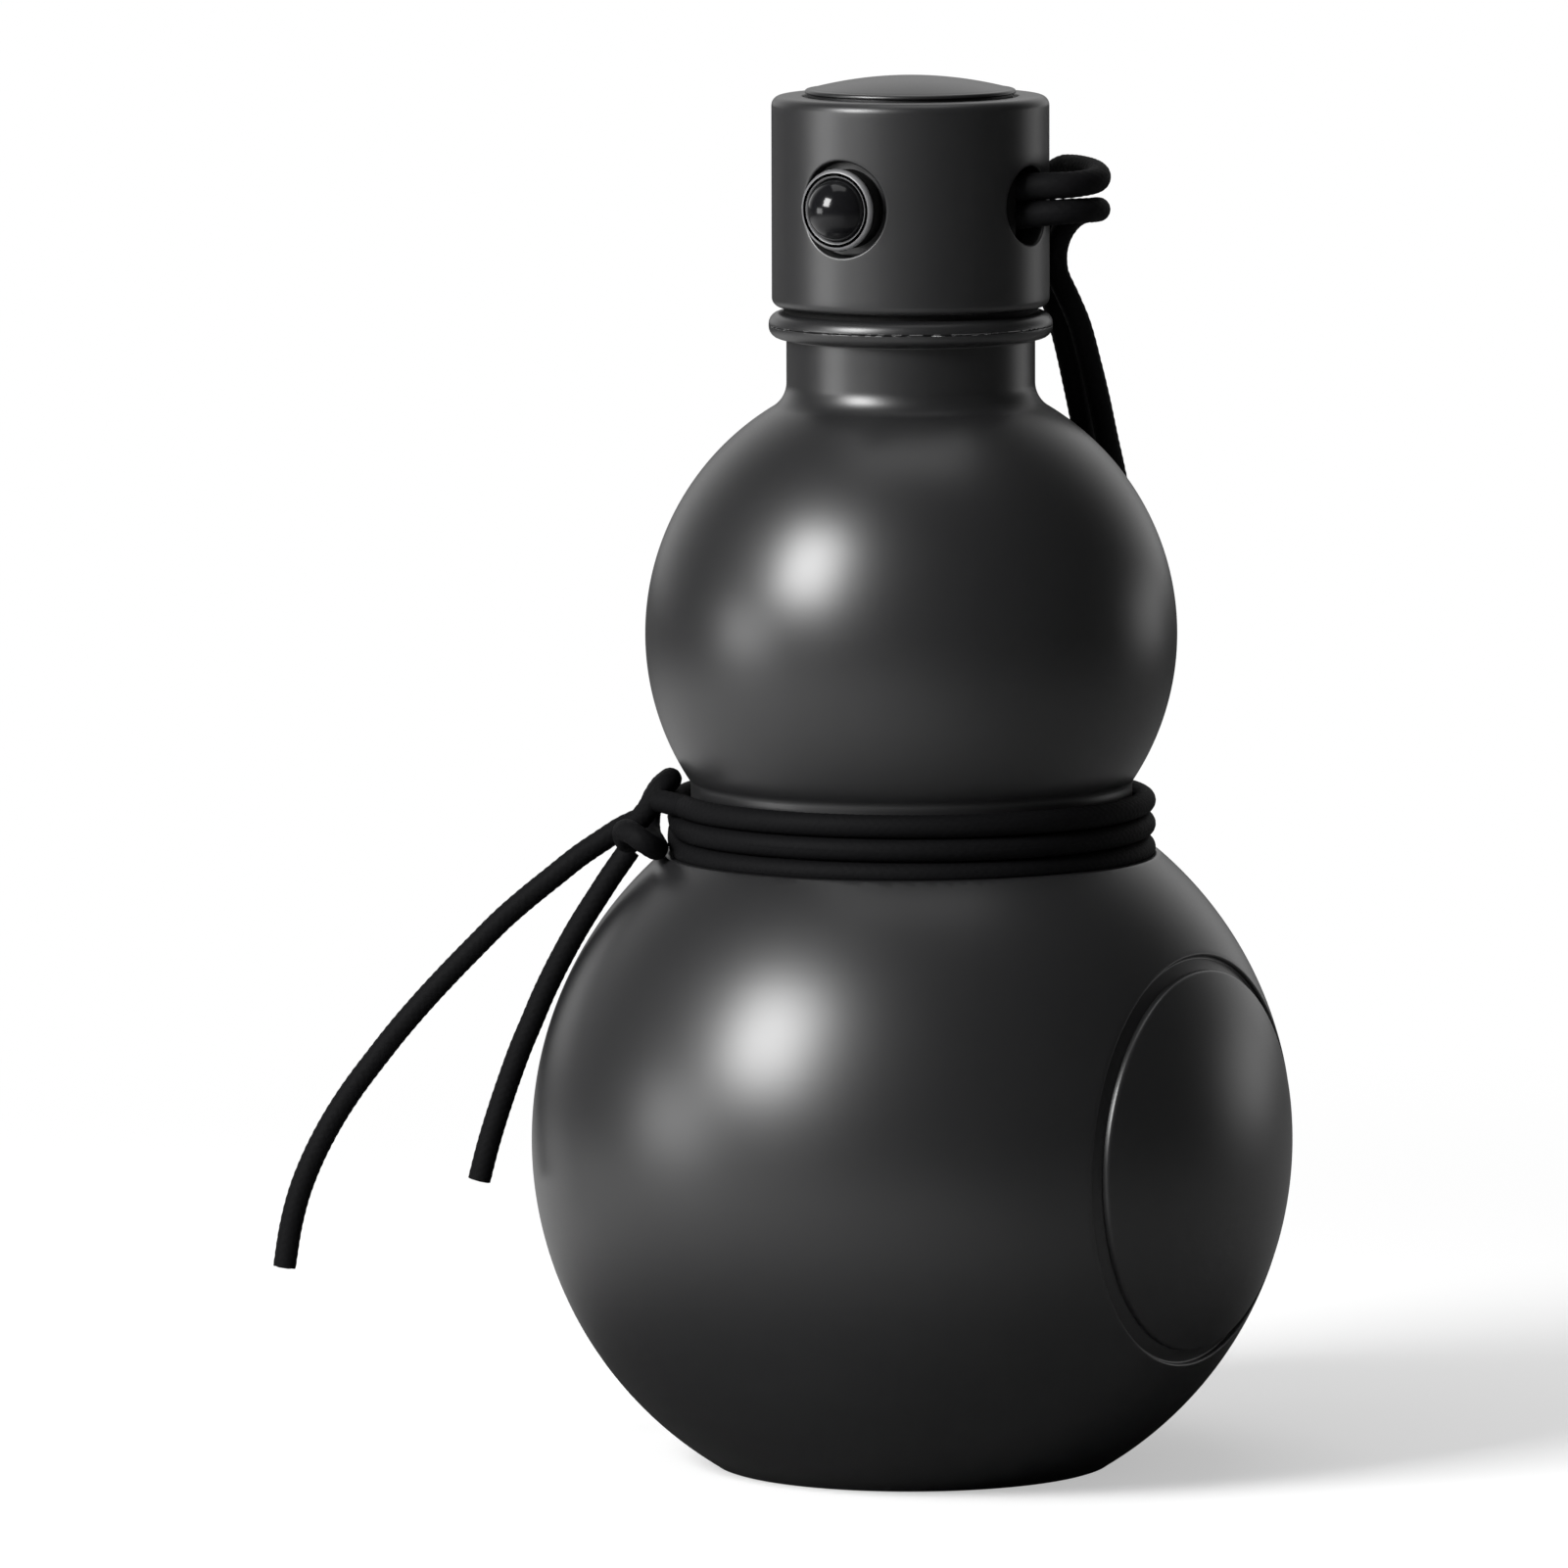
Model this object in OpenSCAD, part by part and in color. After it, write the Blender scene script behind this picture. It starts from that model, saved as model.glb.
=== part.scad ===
// Double-gourd vacuum water bottle with a screw cap on a braided tether cord.
// Millimetres. The origin is the centre of the base, +Z is up, the cord leaves the cap along +X
// and the release button faces -Y.

/* [Balls] */
// Outer diameter of the lower ball
lower_ball_d = 116.8; // [105:0.1:125]
// Outer diameter of the upper ball
upper_ball_d = 81.4; // [76:0.1:86]
// Distance between the centres of the two balls
ball_spacing = 78; // [76:0.5:80]
// Diameter of the flat ring that the bottle stands on
base_d = 60; // [50:1:66]

/* [Walls] */
// Wall of the outer shells
outer_wall = 1.2; // [0.8:0.1:1.6]
// Wall of the inner flask
inner_wall = 1.0; // [0.6:0.1:1.4]
// Vacuum gap between the outer shells and the inner flask
vacuum_gap = 3.0; // [2:0.1:4]

/* [Base] */
// Diameter of the opening that the base plate closes
base_opening_d = 50; // [36:1:52]
// Thickness of the base plate
base_plate_t = 1.2; // [0.8:0.1:2]
// Height of the base plate above the ground
base_plate_lift = 0.6; // [0.3:0.1:1.5]
// Diameter of the cover over the pumping port
port_cover_d = 10; // [6:1:16]
// Thickness of that cover
port_cover_t = 0.5; // [0.3:0.1:0.8]

/* [Waist] */
// Diameter of the waist under the cord
waist_d = 67.6; // [64:0.1:69]
// Height of the waist's top end above the highest wrap of cord
waist_margin = 3.0; // [2.6:0.1:4]

/* [Neck and mouth] */
// Outer diameter of the neck
neck_d = 38; // [36:0.1:40]
// Height of the mouth's rim above the centre of the upper ball
neck_rise = 49; // [48:0.5:54]
// Fillet between the neck and the upper ball
neck_fillet = 4.5; // [3:0.5:6]
// Diameter of the bead at the mouth
bead_d = 43.4; // [42:0.1:46]
// Height of that bead
bead_h = 3.4; // [3:0.1:5]
// Diameter of the mouth
mouth_d = 32.4; // [30:0.1:33]
// Gap between the bead and the cap's lower edge
bead_gap = 0.5; // [0.3:0.1:1.2]

/* [Screw thread] */
// Rise of the thread in one turn
thread_lead = 10; // [8:0.5:12]
// Number of starts
thread_starts = 2; // [1:1:2]
// Height of each ridge above its wall
thread_depth = 0.9; // [0.6:0.1:1]
// Width of each ridge at its root
thread_root = 1.8; // [1.4:0.1:2.2]
// Radial clearance between a ridge and the other wall
thread_clearance = 0.4; // [0.3:0.05:0.6]

/* [Cap] */
// Outer diameter of the cap
cap_d = 42.4; // [41:0.1:45]
// Height of the cap from its lower edge to its rim
cap_h = 32.9; // [31:0.1:36]
// Wall of the cap
cap_wall = 1.6; // [1.2:0.1:2]
// Thickness of the cap's top
cap_top_t = 2.6; // [2.2:0.1:4]
// Fillet round the cap's rim
cap_top_fillet = 1.5; // [0.5:0.1:2.2]
// Fillet round the cap's lower edge
cap_bottom_fillet = 1.4; // [0.3:0.1:1.4]
// Diameter of the raised disc on the cap
disc_d = 32.2; // [28:0.1:36]
// Height of the disc's edge above the rim
disc_rise = 1; // [0.6:0.1:2]
// Rise of the disc's dome from its edge to its centre
disc_dome = 2; // [0.3:0.1:2.4]
// Depth of the disc's seat in the cap
disc_seat = 1.0; // [0.6:0.1:1.4]
// Width of the groove between the disc and the cap
disc_gap = 0.35; // [0.2:0.05:0.6]

/* [Stopper] */
// Thickness of the mouth seal
seal_t = 1.6; // [1.2:0.1:2.4]
// Length of the plug below its flange
plug_length = 18; // [16:0.5:20]
// Wall of the plug
plug_wall = 1.5; // [1.2:0.1:2]
// Thickness of the plug's flange
plug_flange_t = 2; // [1.5:0.1:3]

/* [Cord hole and button] */
// Height of the hole and the button above the cap's lower edge
feature_rise = 16.8; // [16:0.1:18]
// Diameter of the cord hole
cord_hole_d = 12.2; // [11.5:0.1:13.4]
// Diameter of the recess round the button
recess_d = 14.8; // [14.2:0.1:15.6]
// Depth of that recess from the cap's outermost line
recess_depth = 2.6; // [2.2:0.1:3]
// Outer diameter of the grey ring
bezel_d = 13.0; // [12.4:0.1:13.4]
// Height of the ring above the cap's outermost line
bezel_rise = 1.5; // [0.8:0.1:2]
// Fillet on both edges of the ring
bezel_fillet = 0.75; // [0.2:0.05:0.8]
// Diameter of the button and of its plunger
button_d = 9.4; // [9.2:0.02:10.2]
// Height of the button's crown above the cap's outermost line
button_rise = 5.2; // [4.6:0.1:5.6]
// Height of the crown itself
button_crown = 4.4; // [3.6:0.1:4.5]
// Travel of the button
button_travel = 2; // [1:0.1:2.2]
// Radial clearance round the plunger
plunger_clearance = 0.06; // [0.02:0.01:0.1]

/* [Side panel] */
// Diameter of the panel's seat in the lower ball
panel_seat_d = 62; // [50:0.1:70]
// Width of the gap round the panel
panel_gap = 2; // [0.3:0.1:2.4]
// Depth of the seat
panel_depth = 0.9; // [0.6:0.05:1]
// Clearance under the panel
panel_bed = 0.05; // [0.02:0.01:0.1]
// Chamfer on both sides of that gap
panel_chamfer = 0.4; // [0.1:0.05:0.5]

/* [Cord] */
// Diameter of the cord
cord_d = 3.1; // [2.6:0.1:3.2]
// Distance between neighbouring wraps round the waist
wrap_pitch = 3.6; // [3.6:0.05:3.8]
// Angle over which a wrap steps down to the next level, behind the knot
wrap_step_angle = 30; // [28:1:40]
// Steps in one turn of the wraps
wrap_steps = 24; // [24:2:36]

/* [Clearances] */
// Gap between pieces that are welded, glued or pressed together
seat_gap = 0.05; // [0.02:0.01:0.1]
// Gap between the cord and what it lies against
cord_gap = 0.3; // [0.2:0.05:0.5]
// Gap between the seal, the mouth and the plug's flange
seal_gap = 0.05; // [0.02:0.01:0.1]
// Gap between the seal and the wall of the cap
seal_side_gap = 0.2; // [0.1:0.05:0.4]

/* [Hidden] */
$fn = 96;

// Colours as photographed
satin_black = [0.17, 0.17, 0.175];
deep_black = [0.05, 0.05, 0.055];
grey_metal = [0.42, 0.42, 0.43];
steel = [0.72, 0.72, 0.74];
silicone = [0.10, 0.10, 0.10];
moulded_grey = [0.30, 0.30, 0.31];
foam_white = [0.88, 0.88, 0.84];

// Heights along the axis
lower_r = lower_ball_d / 2;
upper_r = upper_ball_d / 2;
lower_z = sqrt(pow(lower_r, 2) - pow(base_d / 2, 2));
upper_z = lower_z + ball_spacing;
rim_z = upper_z + neck_rise;
bead_z = rim_z - bead_h;
cap_z = rim_z + bead_gap;
cap_r = cap_d / 2;
cap_top_z = cap_z + cap_h;
feature_z = cap_z + feature_rise;
neck_r = neck_d / 2;
mouth_r = mouth_d / 2;

// Waist and the levels of its wraps
cord_r = cord_d / 2;
waist_r = waist_d / 2;
waist_top_z = upper_z - sqrt(pow(upper_r, 2) - pow(waist_r, 2));
wrap_r = waist_r + cord_gap + cord_r;
wrap_z = [for (level = [0:2]) waist_top_z - waist_margin - level * wrap_pitch];
groove_r = cord_r + cord_gap;
lip_z = wrap_z[2] - cord_r * 0.6;
weld_z = wrap_z[1];

// Inner flask
flask_inset = outer_wall + vacuum_gap;
flask_floor_z = base_plate_lift + base_plate_t + vacuum_gap;
flask_neck_r = mouth_r + inner_wall;

// Cap interior
cap_bore_r = cap_r - cap_wall;
flange_z = rim_z + seal_t + seal_gap * 2;
housing_z = flange_z + plug_flange_t + seat_gap;
housing_top_z = cap_top_z - cap_top_t - seat_gap;
housing_r = cap_bore_r - seat_gap;
housing_pocket_r = cap_bore_r - 4;
housing_pocket_depth = 3;
plug_r = mouth_r - thread_depth - thread_clearance;
plug_bottom_z = flange_z - plug_length;

// Plunger, its bore and the channel that the cord is pinched in
plunger_r = button_d / 2;
plunger_bore_r = plunger_r + plunger_clearance;
pinch_half = cord_r + 0.3;
channel_half_h = 6;
slot_half_h = 4.3;
channel_back = pinch_half + button_travel;
channel_end = -12;
plunger_face_y = -(cap_r + button_rise - button_crown);
plunger_back_y = pinch_half + 2;
spring_room = 8;
bore_end_y = plunger_back_y + spring_room;
bezel_seat_y = -(cap_r - recess_depth);

// Panel on the lower ball
panel_r = panel_seat_d / 2 - panel_gap;
panel_edge_x = sqrt(pow(lower_r, 2) - pow(panel_seat_d / 2, 2));

// Knot and wraps, in degrees round the axis from +X
tail_turn = 30;
knot_angle = 210;
right_strand_angle = 88;
left_strand_angle = 97;
wrap_end_reach = 3.2;
wrap_end_angle = 9;

// Knot and free cord, turned by tail_turn: x away from the axis, z up
knot_points = [
    [-41.7, -0.4, 99.5], [-40.5, -1.1, 101], [-39.4, -1.4, 102.8], [-38.2, -1, 104.5],
    [-37, 0.8, 105.5], [-37.4, 4.2, 105], [-38.7, 7.2, 103.5], [-40, 8.6, 101],
    [-40.4, 8.2, 98.4], [-40.2, 5.4, 96.5], [-39.6, 1.2, 96], [-39.2, -3, 95.9],
    [-38.9, -6.6, 95.9], [-39.3, -9.6, 96.2], [-41, -10.6, 97.4], [-42.8, -8.8, 98.5],
    [-43.9, -5.8, 98.4], [-43.9, -3.4, 97], [-43, -1.9, 95.6]
];
long_tail_points = [
    [-41.9, -0.2, 99.4], [-44.4, 0, 98.2], [-47.2, 0, 96.4], [-50.9, 0, 93.9], [-54.8, 0, 90.8],
    [-58.9, 0, 87.5], [-62.8, 0, 84.1], [-66.6, 0, 80.3], [-70.6, 0, 76.2], [-74.6, 0, 71.9],
    [-78.6, 0, 67.3], [-82.4, 0, 62.5], [-86, 0, 57.7], [-89.2, 0, 52.7], [-92, 0, 47.3],
    [-94.1, 0, 42], [-95.5, 0, 36.6], [-96.5, 0, 30.4]
];
short_tail_points = [
    [-43.2, -1.8, 95.1], [-44.6, -1.9, 93.1], [-46.2, -1.9, 90.8], [-48, -1.8, 88],
    [-49.8, -1.6, 85.2], [-51.6, -1.3, 82.2], [-53.3, -1, 79.1], [-55, -0.7, 75.8],
    [-56.7, -0.5, 72.2], [-58.3, -0.3, 68.4], [-60, -0.2, 64.4], [-61.7, -0.1, 59.8],
    [-63.4, 0, 54.8], [-65, 0, 49.6], [-66.5, 0, 43.8]
];

// Cord from the bend in the lock out of the hole and round behind the cap, for each strand
upper_strand_points = [
    [10.7, 22.1, 187.9], [11.3, 22, 191.3], [13, 21.4, 194.8], [16.2, 19.8, 197.5],
    [20.2, 17.4, 198.7], [24, 14.4, 198.8], [26.6, 11.1, 198.4], [28, 7.8, 198],
    [28, 4.6, 197.8], [26.6, 2, 197.6], [24.2, 0.5, 197.5], [20.8, 0, 197.3], [14, 0, 196.8]
];
lower_strand_points = [
    [14, 0, 192], [20.8, 0, 193], [24.2, 0.5, 193.4], [26.6, 2, 193.6], [28, 4.6, 193.6],
    [28, 7.8, 193.5], [26.6, 11.1, 193.3], [24, 14.4, 193], [20.8, 17, 192.4],
    [17.6, 18.8, 191], [15.3, 19.6, 188.6], [14.3, 19.8, 185.8], [14.3, 19.8, 184.2]
];
left_strand_points = [
    [10.6, 22.1, 187.5], [10.5, 22.4, 184.2], [11.3, 23.1, 179.6], [13, 24.2, 172.8],
    [13.6, 26.4, 165.6], [13.2, 30, 158.2], [11.7, 35, 150], [9.2, 39.8, 141.4],
    [5.9, 42.4, 131.4], [2.8, 42.5, 122], [0.2, 40.9, 114.6], [-0.7, 37.7, 107.4]
];
right_strand_points = [
    [14.3, 19.8, 183.8], [14.5, 19.9, 182.4], [16.2, 20.6, 178.4], [17.3, 21.8, 174.6], [18, 23.8, 168.6],
    [18.2, 26.3, 162.6], [17.9, 29.2, 156.8], [17.6, 32.4, 150.6], [16.7, 36.6, 143.4],
    [14.2, 40.1, 135], [11.1, 41.6, 126.4], [7.6, 41.1, 117.6], [4.8, 39.3, 111],
    [2.6, 37.4, 106.8]
];

// Vector helpers
function unit(v) = v / norm(v);
function without_part_along(v, t) = v - t * (v * t);
function any_side(t) = abs(t.z) < 0.9 ? [0, 0, 1] : [1, 0, 0];
function tangent(p, i) = unit(p[min(i + 1, len(p) - 1)] - p[max(i - 1, 0)]);
function sides_along(p) = [
    for (
        i = 0, s = unit(without_part_along(any_side(tangent(p, 0)), tangent(p, 0)));
        i < len(p);
        s = unit(without_part_along(s, tangent(p, min(i + 1, len(p) - 1)))), i = i + 1
    ) s
];
function on_circle(r, angle, z) = [r * cos(angle), r * sin(angle), z];

// A closed tube of triangles along a list of points
module tube(path, r, around = 8) {
    side = sides_along(path);
    last = len(path) - 1;
    points = [
        for (i = [0:last]) let (t = tangent(path, i), up = cross(t, side[i]))
        for (k = [0:around - 1])
        path[i] + r * (side[i] * cos(360 * k / around) + up * sin(360 * k / around))
    ];
    walls = [
        for (i = [0:last - 1]) for (k = [0:around - 1])
        let (a = i * around + k, b = i * around + (k + 1) % around)
        each [[a, a + around, b + around], [a, b + around, b]]
    ];
    start_cap = [for (k = [1:around - 2]) [0, k, k + 1]];
    end_cap = [for (k = [1:around - 2]) [last * around, last * around + k + 1, last * around + k]];
    polyhedron(points = points, faces = concat(start_cap, walls, end_cap), convexity = 6);
}

// Half sections of the gourd, moved inwards by inset
module gourd_section(inset, neck_at, fillet, top_z) {
    ball_r = upper_r - inset;
    fillet_x = neck_at + fillet;
    fillet_z = upper_z + sqrt(pow(ball_r + fillet, 2) - pow(fillet_x, 2));
    intersection() {
        union() {
            translate([0, lower_z]) circle(r = lower_r - inset);
            translate([0, upper_z]) circle(r = ball_r);
            translate([0, lower_z]) square([waist_r - inset, waist_top_z - lower_z]);
            translate([0, upper_z]) square([neck_at, top_z - upper_z]);
            difference() {
                polygon([[0, upper_z], [fillet_x, fillet_z], [0, fillet_z]]);
                translate([fillet_x, fillet_z]) circle(r = fillet);
            }
        }
        square([lower_r, top_z]);
    }
}

// The groove that the wraps of cord lie in
module waist_groove_section(inset) {
    far = lower_r * 2;
    translate([waist_r - inset, wrap_z[2]]) square([far, waist_top_z - wrap_z[2]]);
    translate([wrap_r, wrap_z[2]]) circle(r = groove_r + inset);
    translate([wrap_r, lip_z - inset]) square([far, waist_top_z - lip_z + inset]);
}

module outer_section() {
    difference() {
        gourd_section(0, neck_r, neck_fillet, rim_z);
        waist_groove_section(0);
        difference() {
            gourd_section(outer_wall, neck_r - outer_wall, neck_fillet + outer_wall, rim_z);
            waist_groove_section(outer_wall);
            square([lower_r, outer_wall]);
        }
    }
}

// Pieces of the vessel. The seat of the panel is drawn as a half section about the +X axis
// through the centre of the lower ball: x is the distance from that axis, y the reach along it.
module about_panel_axis() {
    translate([0, 0, lower_z]) rotate([0, 90, 0]) rotate_extrude() children();
}

module ball_arc_section(r, width) {
    intersection() {
        circle(r = r, $fn = 360);
        square([width, lower_r * 2]);
    }
}

module panel_seat_section() {
    seat_r = panel_seat_d / 2;
    difference() {
        union() {
            square([seat_r, lower_r * 1.2]);
            polygon([
                [0, panel_edge_x], [seat_r, panel_edge_x - panel_chamfer],
                [seat_r + panel_chamfer * 3, panel_edge_x + panel_chamfer * 2],
                [0, panel_edge_x + panel_chamfer * 2]
            ]);
        }
        circle(r = lower_r - panel_depth, $fn = 360);
    }
}

module outer_shell_lower() {
    backing_r = panel_seat_d / 2 + outer_wall;
    color(satin_black) difference() {
        union() {
            rotate_extrude() difference() {
                outer_section();
                translate([0, weld_z]) square([lower_r, rim_z]);
                square([base_opening_d / 2, outer_wall * 3]);
            }
            about_panel_axis() difference() {
                ball_arc_section(lower_r - outer_wall * 0.6, backing_r);
                circle(r = lower_r - panel_depth - outer_wall, $fn = 360);
            }
        }
        about_panel_axis() panel_seat_section();
    }
}

module outer_shell_upper() {
    color(satin_black) rotate_extrude() difference() {
        union() {
            difference() {
                outer_section();
                square([lower_r, weld_z + seat_gap]);
            }
            difference() {
                bead_section();
                square([flask_neck_r + seat_gap, rim_z + 1]);
            }
        }
    }
}

module bead_section() {
    bead_fillet = bead_h * 0.48;
    bead_r = bead_d / 2;
    translate([0, bead_z]) square([bead_r - bead_fillet, bead_h]);
    translate([0, bead_z + bead_fillet]) square([bead_r, bead_h - bead_fillet * 2]);
    for (z = [bead_z + bead_fillet, rim_z - bead_fillet])
        translate([bead_r - bead_fillet, z]) circle(r = bead_fillet);
}

module base_plate() {
    plate_r = base_opening_d / 2 - seat_gap;
    color(steel) difference() {
        translate([0, 0, base_plate_lift]) cylinder(r = plate_r, h = base_plate_t);
        cylinder(r = port_cover_d / 2 + seat_gap, h = base_plate_lift + port_cover_t + seat_gap);
    }
}

module port_cover() {
    color(moulded_grey) translate([0, 0, base_plate_lift])
        cylinder(d = port_cover_d, h = port_cover_t);
}

module inner_flask() {
    color(steel) union() {
        rotate_extrude() difference() {
            flask_section(flask_inset, flask_neck_r, flask_floor_z);
            flask_section(flask_inset + inner_wall, mouth_r, flask_floor_z + inner_wall);
        }
        for (start = [0:thread_starts - 1])
            rotate([0, 0, start * 360 / thread_starts])
                thread_ridge(mouth_r, -1, rim_z - 12, 0.55);
    }
}

module flask_section(inset, neck_at, floor_z) {
    difference() {
        gourd_section(inset, neck_at, neck_fillet, rim_z);
        waist_groove_section(inset);
        square([lower_r, floor_z]);
    }
}

// One ridge of the thread: direction 1 stands out of a rod, -1 stands into a bore
module thread_ridge(wall_r, direction, low_z, turns) {
    step = 15;
    sunk = 0.3;
    count = ceil(turns * 360 / step);
    crest = thread_root * 0.45;
    function height(i) = thread_depth * min(1, i / 2, (count - i) / 2);
    points = [
        for (i = [0:count]) let (
            angle = i * step,
            z = low_z + thread_lead * angle / 360,
            root_r = wall_r - direction * sunk,
            crest_r = wall_r + direction * max(height(i), 0.02)
        )
        each [
            on_circle(root_r, angle, z - thread_root / 2),
            on_circle(crest_r, angle, z - crest / 2),
            on_circle(crest_r, angle, z + crest / 2),
            on_circle(root_r, angle, z + thread_root / 2)
        ]
    ];
    walls = [
        for (i = [0:count - 1]) for (k = [0:3])
        let (a = i * 4 + k, b = i * 4 + (k + 1) % 4)
        each (direction > 0
            ? [[a, b + 4, a + 4], [a, b, b + 4]]
            : [[a, a + 4, b + 4], [a, b + 4, b]])
    ];
    last = count * 4;
    ends = direction > 0
        ? [[0, 2, 1], [0, 3, 2], [last, last + 1, last + 2], [last, last + 2, last + 3]]
        : [[0, 1, 2], [0, 2, 3], [last, last + 2, last + 1], [last, last + 3, last + 2]];
    polyhedron(points = points, faces = concat(walls, ends), convexity = 4);
}

module side_panel() {
    rim_x = sqrt(pow(lower_r, 2) - pow(panel_r, 2));
    color(satin_black) about_panel_axis() difference() {
        ball_arc_section(lower_r, panel_r);
        circle(r = lower_r - panel_depth + panel_bed, $fn = 360);
        polygon([
            [panel_r + 1, rim_x - panel_chamfer - 1], [panel_r + 1, rim_x + 2],
            [panel_r - panel_chamfer - 2, rim_x + 2]
        ]);
    }
}

// Cord round the waist, its knot and its free ends
function level_at(angle) =
    let (
        first = knot_angle - wrap_step_angle / 2,
        passed = max(0, angle - first),
        turns = floor(passed / 360),
        part = min(1, (passed - turns * 360) / wrap_step_angle)
    )
    passed == 0 ? wrap_z[0] : wrap_z[0] - wrap_pitch * (turns + part);

function double_wrap_path() =
    let (
        first = left_strand_angle,
        last = knot_angle + 720 - wrap_step_angle / 2,
        count = ceil((last - first) * wrap_steps / 360)
    )
    [for (i = [0:count]) let (a = first + (last - first) * i / count)
        on_circle(wrap_r, a, level_at(a))];

function single_wrap_path() =
    let (
        first = right_strand_angle,
        last = knot_angle - 360 + wrap_step_angle / 2,
        count = ceil((first - last) * wrap_steps / 360)
    )
    [
        for (i = [0:count]) on_circle(wrap_r, first + (last - first) * i / count, wrap_z[0]),
        on_circle(wrap_r + wrap_end_reach, last - wrap_end_angle, wrap_z[0] + 0.4)
    ];

module waist_wrap_single() {
    color(deep_black) tube(single_wrap_path(), cord_r, 6);
}

module waist_wrap_double() {
    color(deep_black) tube(double_wrap_path(), cord_r, 6);
}

// Least gap of the wound cord to its own earlier turns, from its points to its stretches
function to_stretch(p, a, b) =
    norm(p - a - (b - a) * max(0, min(1, (p - a) * (b - a) / ((b - a) * (b - a)))));
function least_self_gap(path) = min([
    for (i = [0:len(path) - 1]) for (j = [i + ceil(wrap_steps / 2):1:len(path) - 2])
    to_stretch(path[i], path[j], path[j + 1])
]) - cord_d;
echo(least_self_gap_of_double_wrap = least_self_gap(double_wrap_path()));

module waist_knot() {
    color(deep_black) rotate([0, 0, tail_turn]) tube(knot_points, cord_r);
}

module tail_long() {
    color(deep_black) rotate([0, 0, tail_turn]) tube(long_tail_points, cord_r);
}

module tail_short() {
    color(deep_black) rotate([0, 0, tail_turn]) tube(short_tail_points, cord_r);
}

// Strands between the cap and the waist
module tether_left() {
    joint = on_circle(wrap_r, left_strand_angle, wrap_z[0]);
    color(deep_black) tube(concat(left_strand_points, [joint]), cord_r);
}

module tether_right() {
    joint = on_circle(wrap_r, right_strand_angle, wrap_z[0]);
    color(deep_black) tube(concat(right_strand_points, [joint]), cord_r);
}

// Cap and stopper
module mouth_seal() {
    color(silicone) translate([0, 0, rim_z + seal_gap]) difference() {
        cylinder(r = cap_bore_r - seal_side_gap, h = seal_t);
        translate([0, 0, -1]) cylinder(r = mouth_r + seal_gap, h = seal_t + 2);
    }
}

module cap_section() {
    square([cap_r - cap_bottom_fillet, cap_h]);
    translate([0, cap_bottom_fillet])
        square([cap_r, cap_h - cap_bottom_fillet - cap_top_fillet]);
    translate([0, cap_h - cap_top_fillet]) square([cap_r - cap_top_fillet, cap_top_fillet]);
    translate([cap_r - cap_bottom_fillet, cap_bottom_fillet]) circle(r = cap_bottom_fillet);
    translate([cap_r - cap_top_fillet, cap_h - cap_top_fillet]) circle(r = cap_top_fillet);
}

module cap_shell() {
    hole_chamfer = 0.2;
    color(satin_black) difference() {
        translate([0, 0, cap_z]) rotate_extrude() difference() {
            cap_section();
            square([cap_bore_r, cap_h - cap_top_t]);
            translate([0, cap_h - disc_seat]) square([disc_d / 2 + disc_gap, disc_seat + 1]);
        }
        translate([0, 0, feature_z]) {
            rotate([0, 90, 0]) cylinder(d = cord_hole_d, h = cap_r * 2);
            translate([cap_r - hole_chamfer * 3, 0, 0]) rotate([0, 90, 0])
                cylinder(d1 = cord_hole_d, d2 = cord_hole_d + hole_chamfer * 4, h = hole_chamfer * 4);
            rotate([90, 0, 0]) cylinder(d = bezel_d + seat_gap * 2, h = cap_r * 2);
            translate([0, bezel_seat_y, 0]) rotate([90, 0, 0]) cylinder(d = recess_d, h = cap_r);
        }
    }
}

module cap_top_disc() {
    disc_r = disc_d / 2;
    shoulder = 0.7;
    crown_r = disc_r - shoulder;
    dome_r = (pow(crown_r, 2) + pow(disc_dome, 2)) / (2 * disc_dome);
    base_z = cap_top_z - disc_seat + seat_gap;
    edge_h = disc_seat - seat_gap + disc_rise;
    color(satin_black) translate([0, 0, base_z]) rotate_extrude() {
        square([disc_r, edge_h - shoulder]);
        square([disc_r - shoulder, edge_h]);
        translate([disc_r - shoulder, edge_h - shoulder]) circle(r = shoulder);
        intersection() {
            translate([0, edge_h + disc_dome - dome_r]) circle(r = dome_r, $fn = 1440);
            square([crown_r, edge_h + disc_dome + 1]);
        }
    }
}

module stopper_plug() {
    color(moulded_grey) difference() {
        union() {
            translate([0, 0, plug_bottom_z]) cylinder(r = plug_r, h = plug_length + plug_flange_t);
            translate([0, 0, flange_z]) cylinder(r = cap_bore_r - seat_gap, h = plug_flange_t);
            for (start = [0:thread_starts - 1])
                rotate([0, 0, start * 360 / thread_starts])
                    thread_ridge(plug_r, 1, rim_z - 12 + thread_lead / thread_starts / 2, 0.55);
        }
        translate([0, 0, plug_bottom_z + plug_wall])
            cylinder(r = plug_r - plug_wall, h = plug_length + plug_flange_t);
    }
}

module plug_insulation() {
    color(foam_white) translate([0, 0, plug_bottom_z + plug_wall + seat_gap])
        cylinder(r = plug_r - plug_wall - seat_gap, h = plug_length - plug_wall);
}

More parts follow.
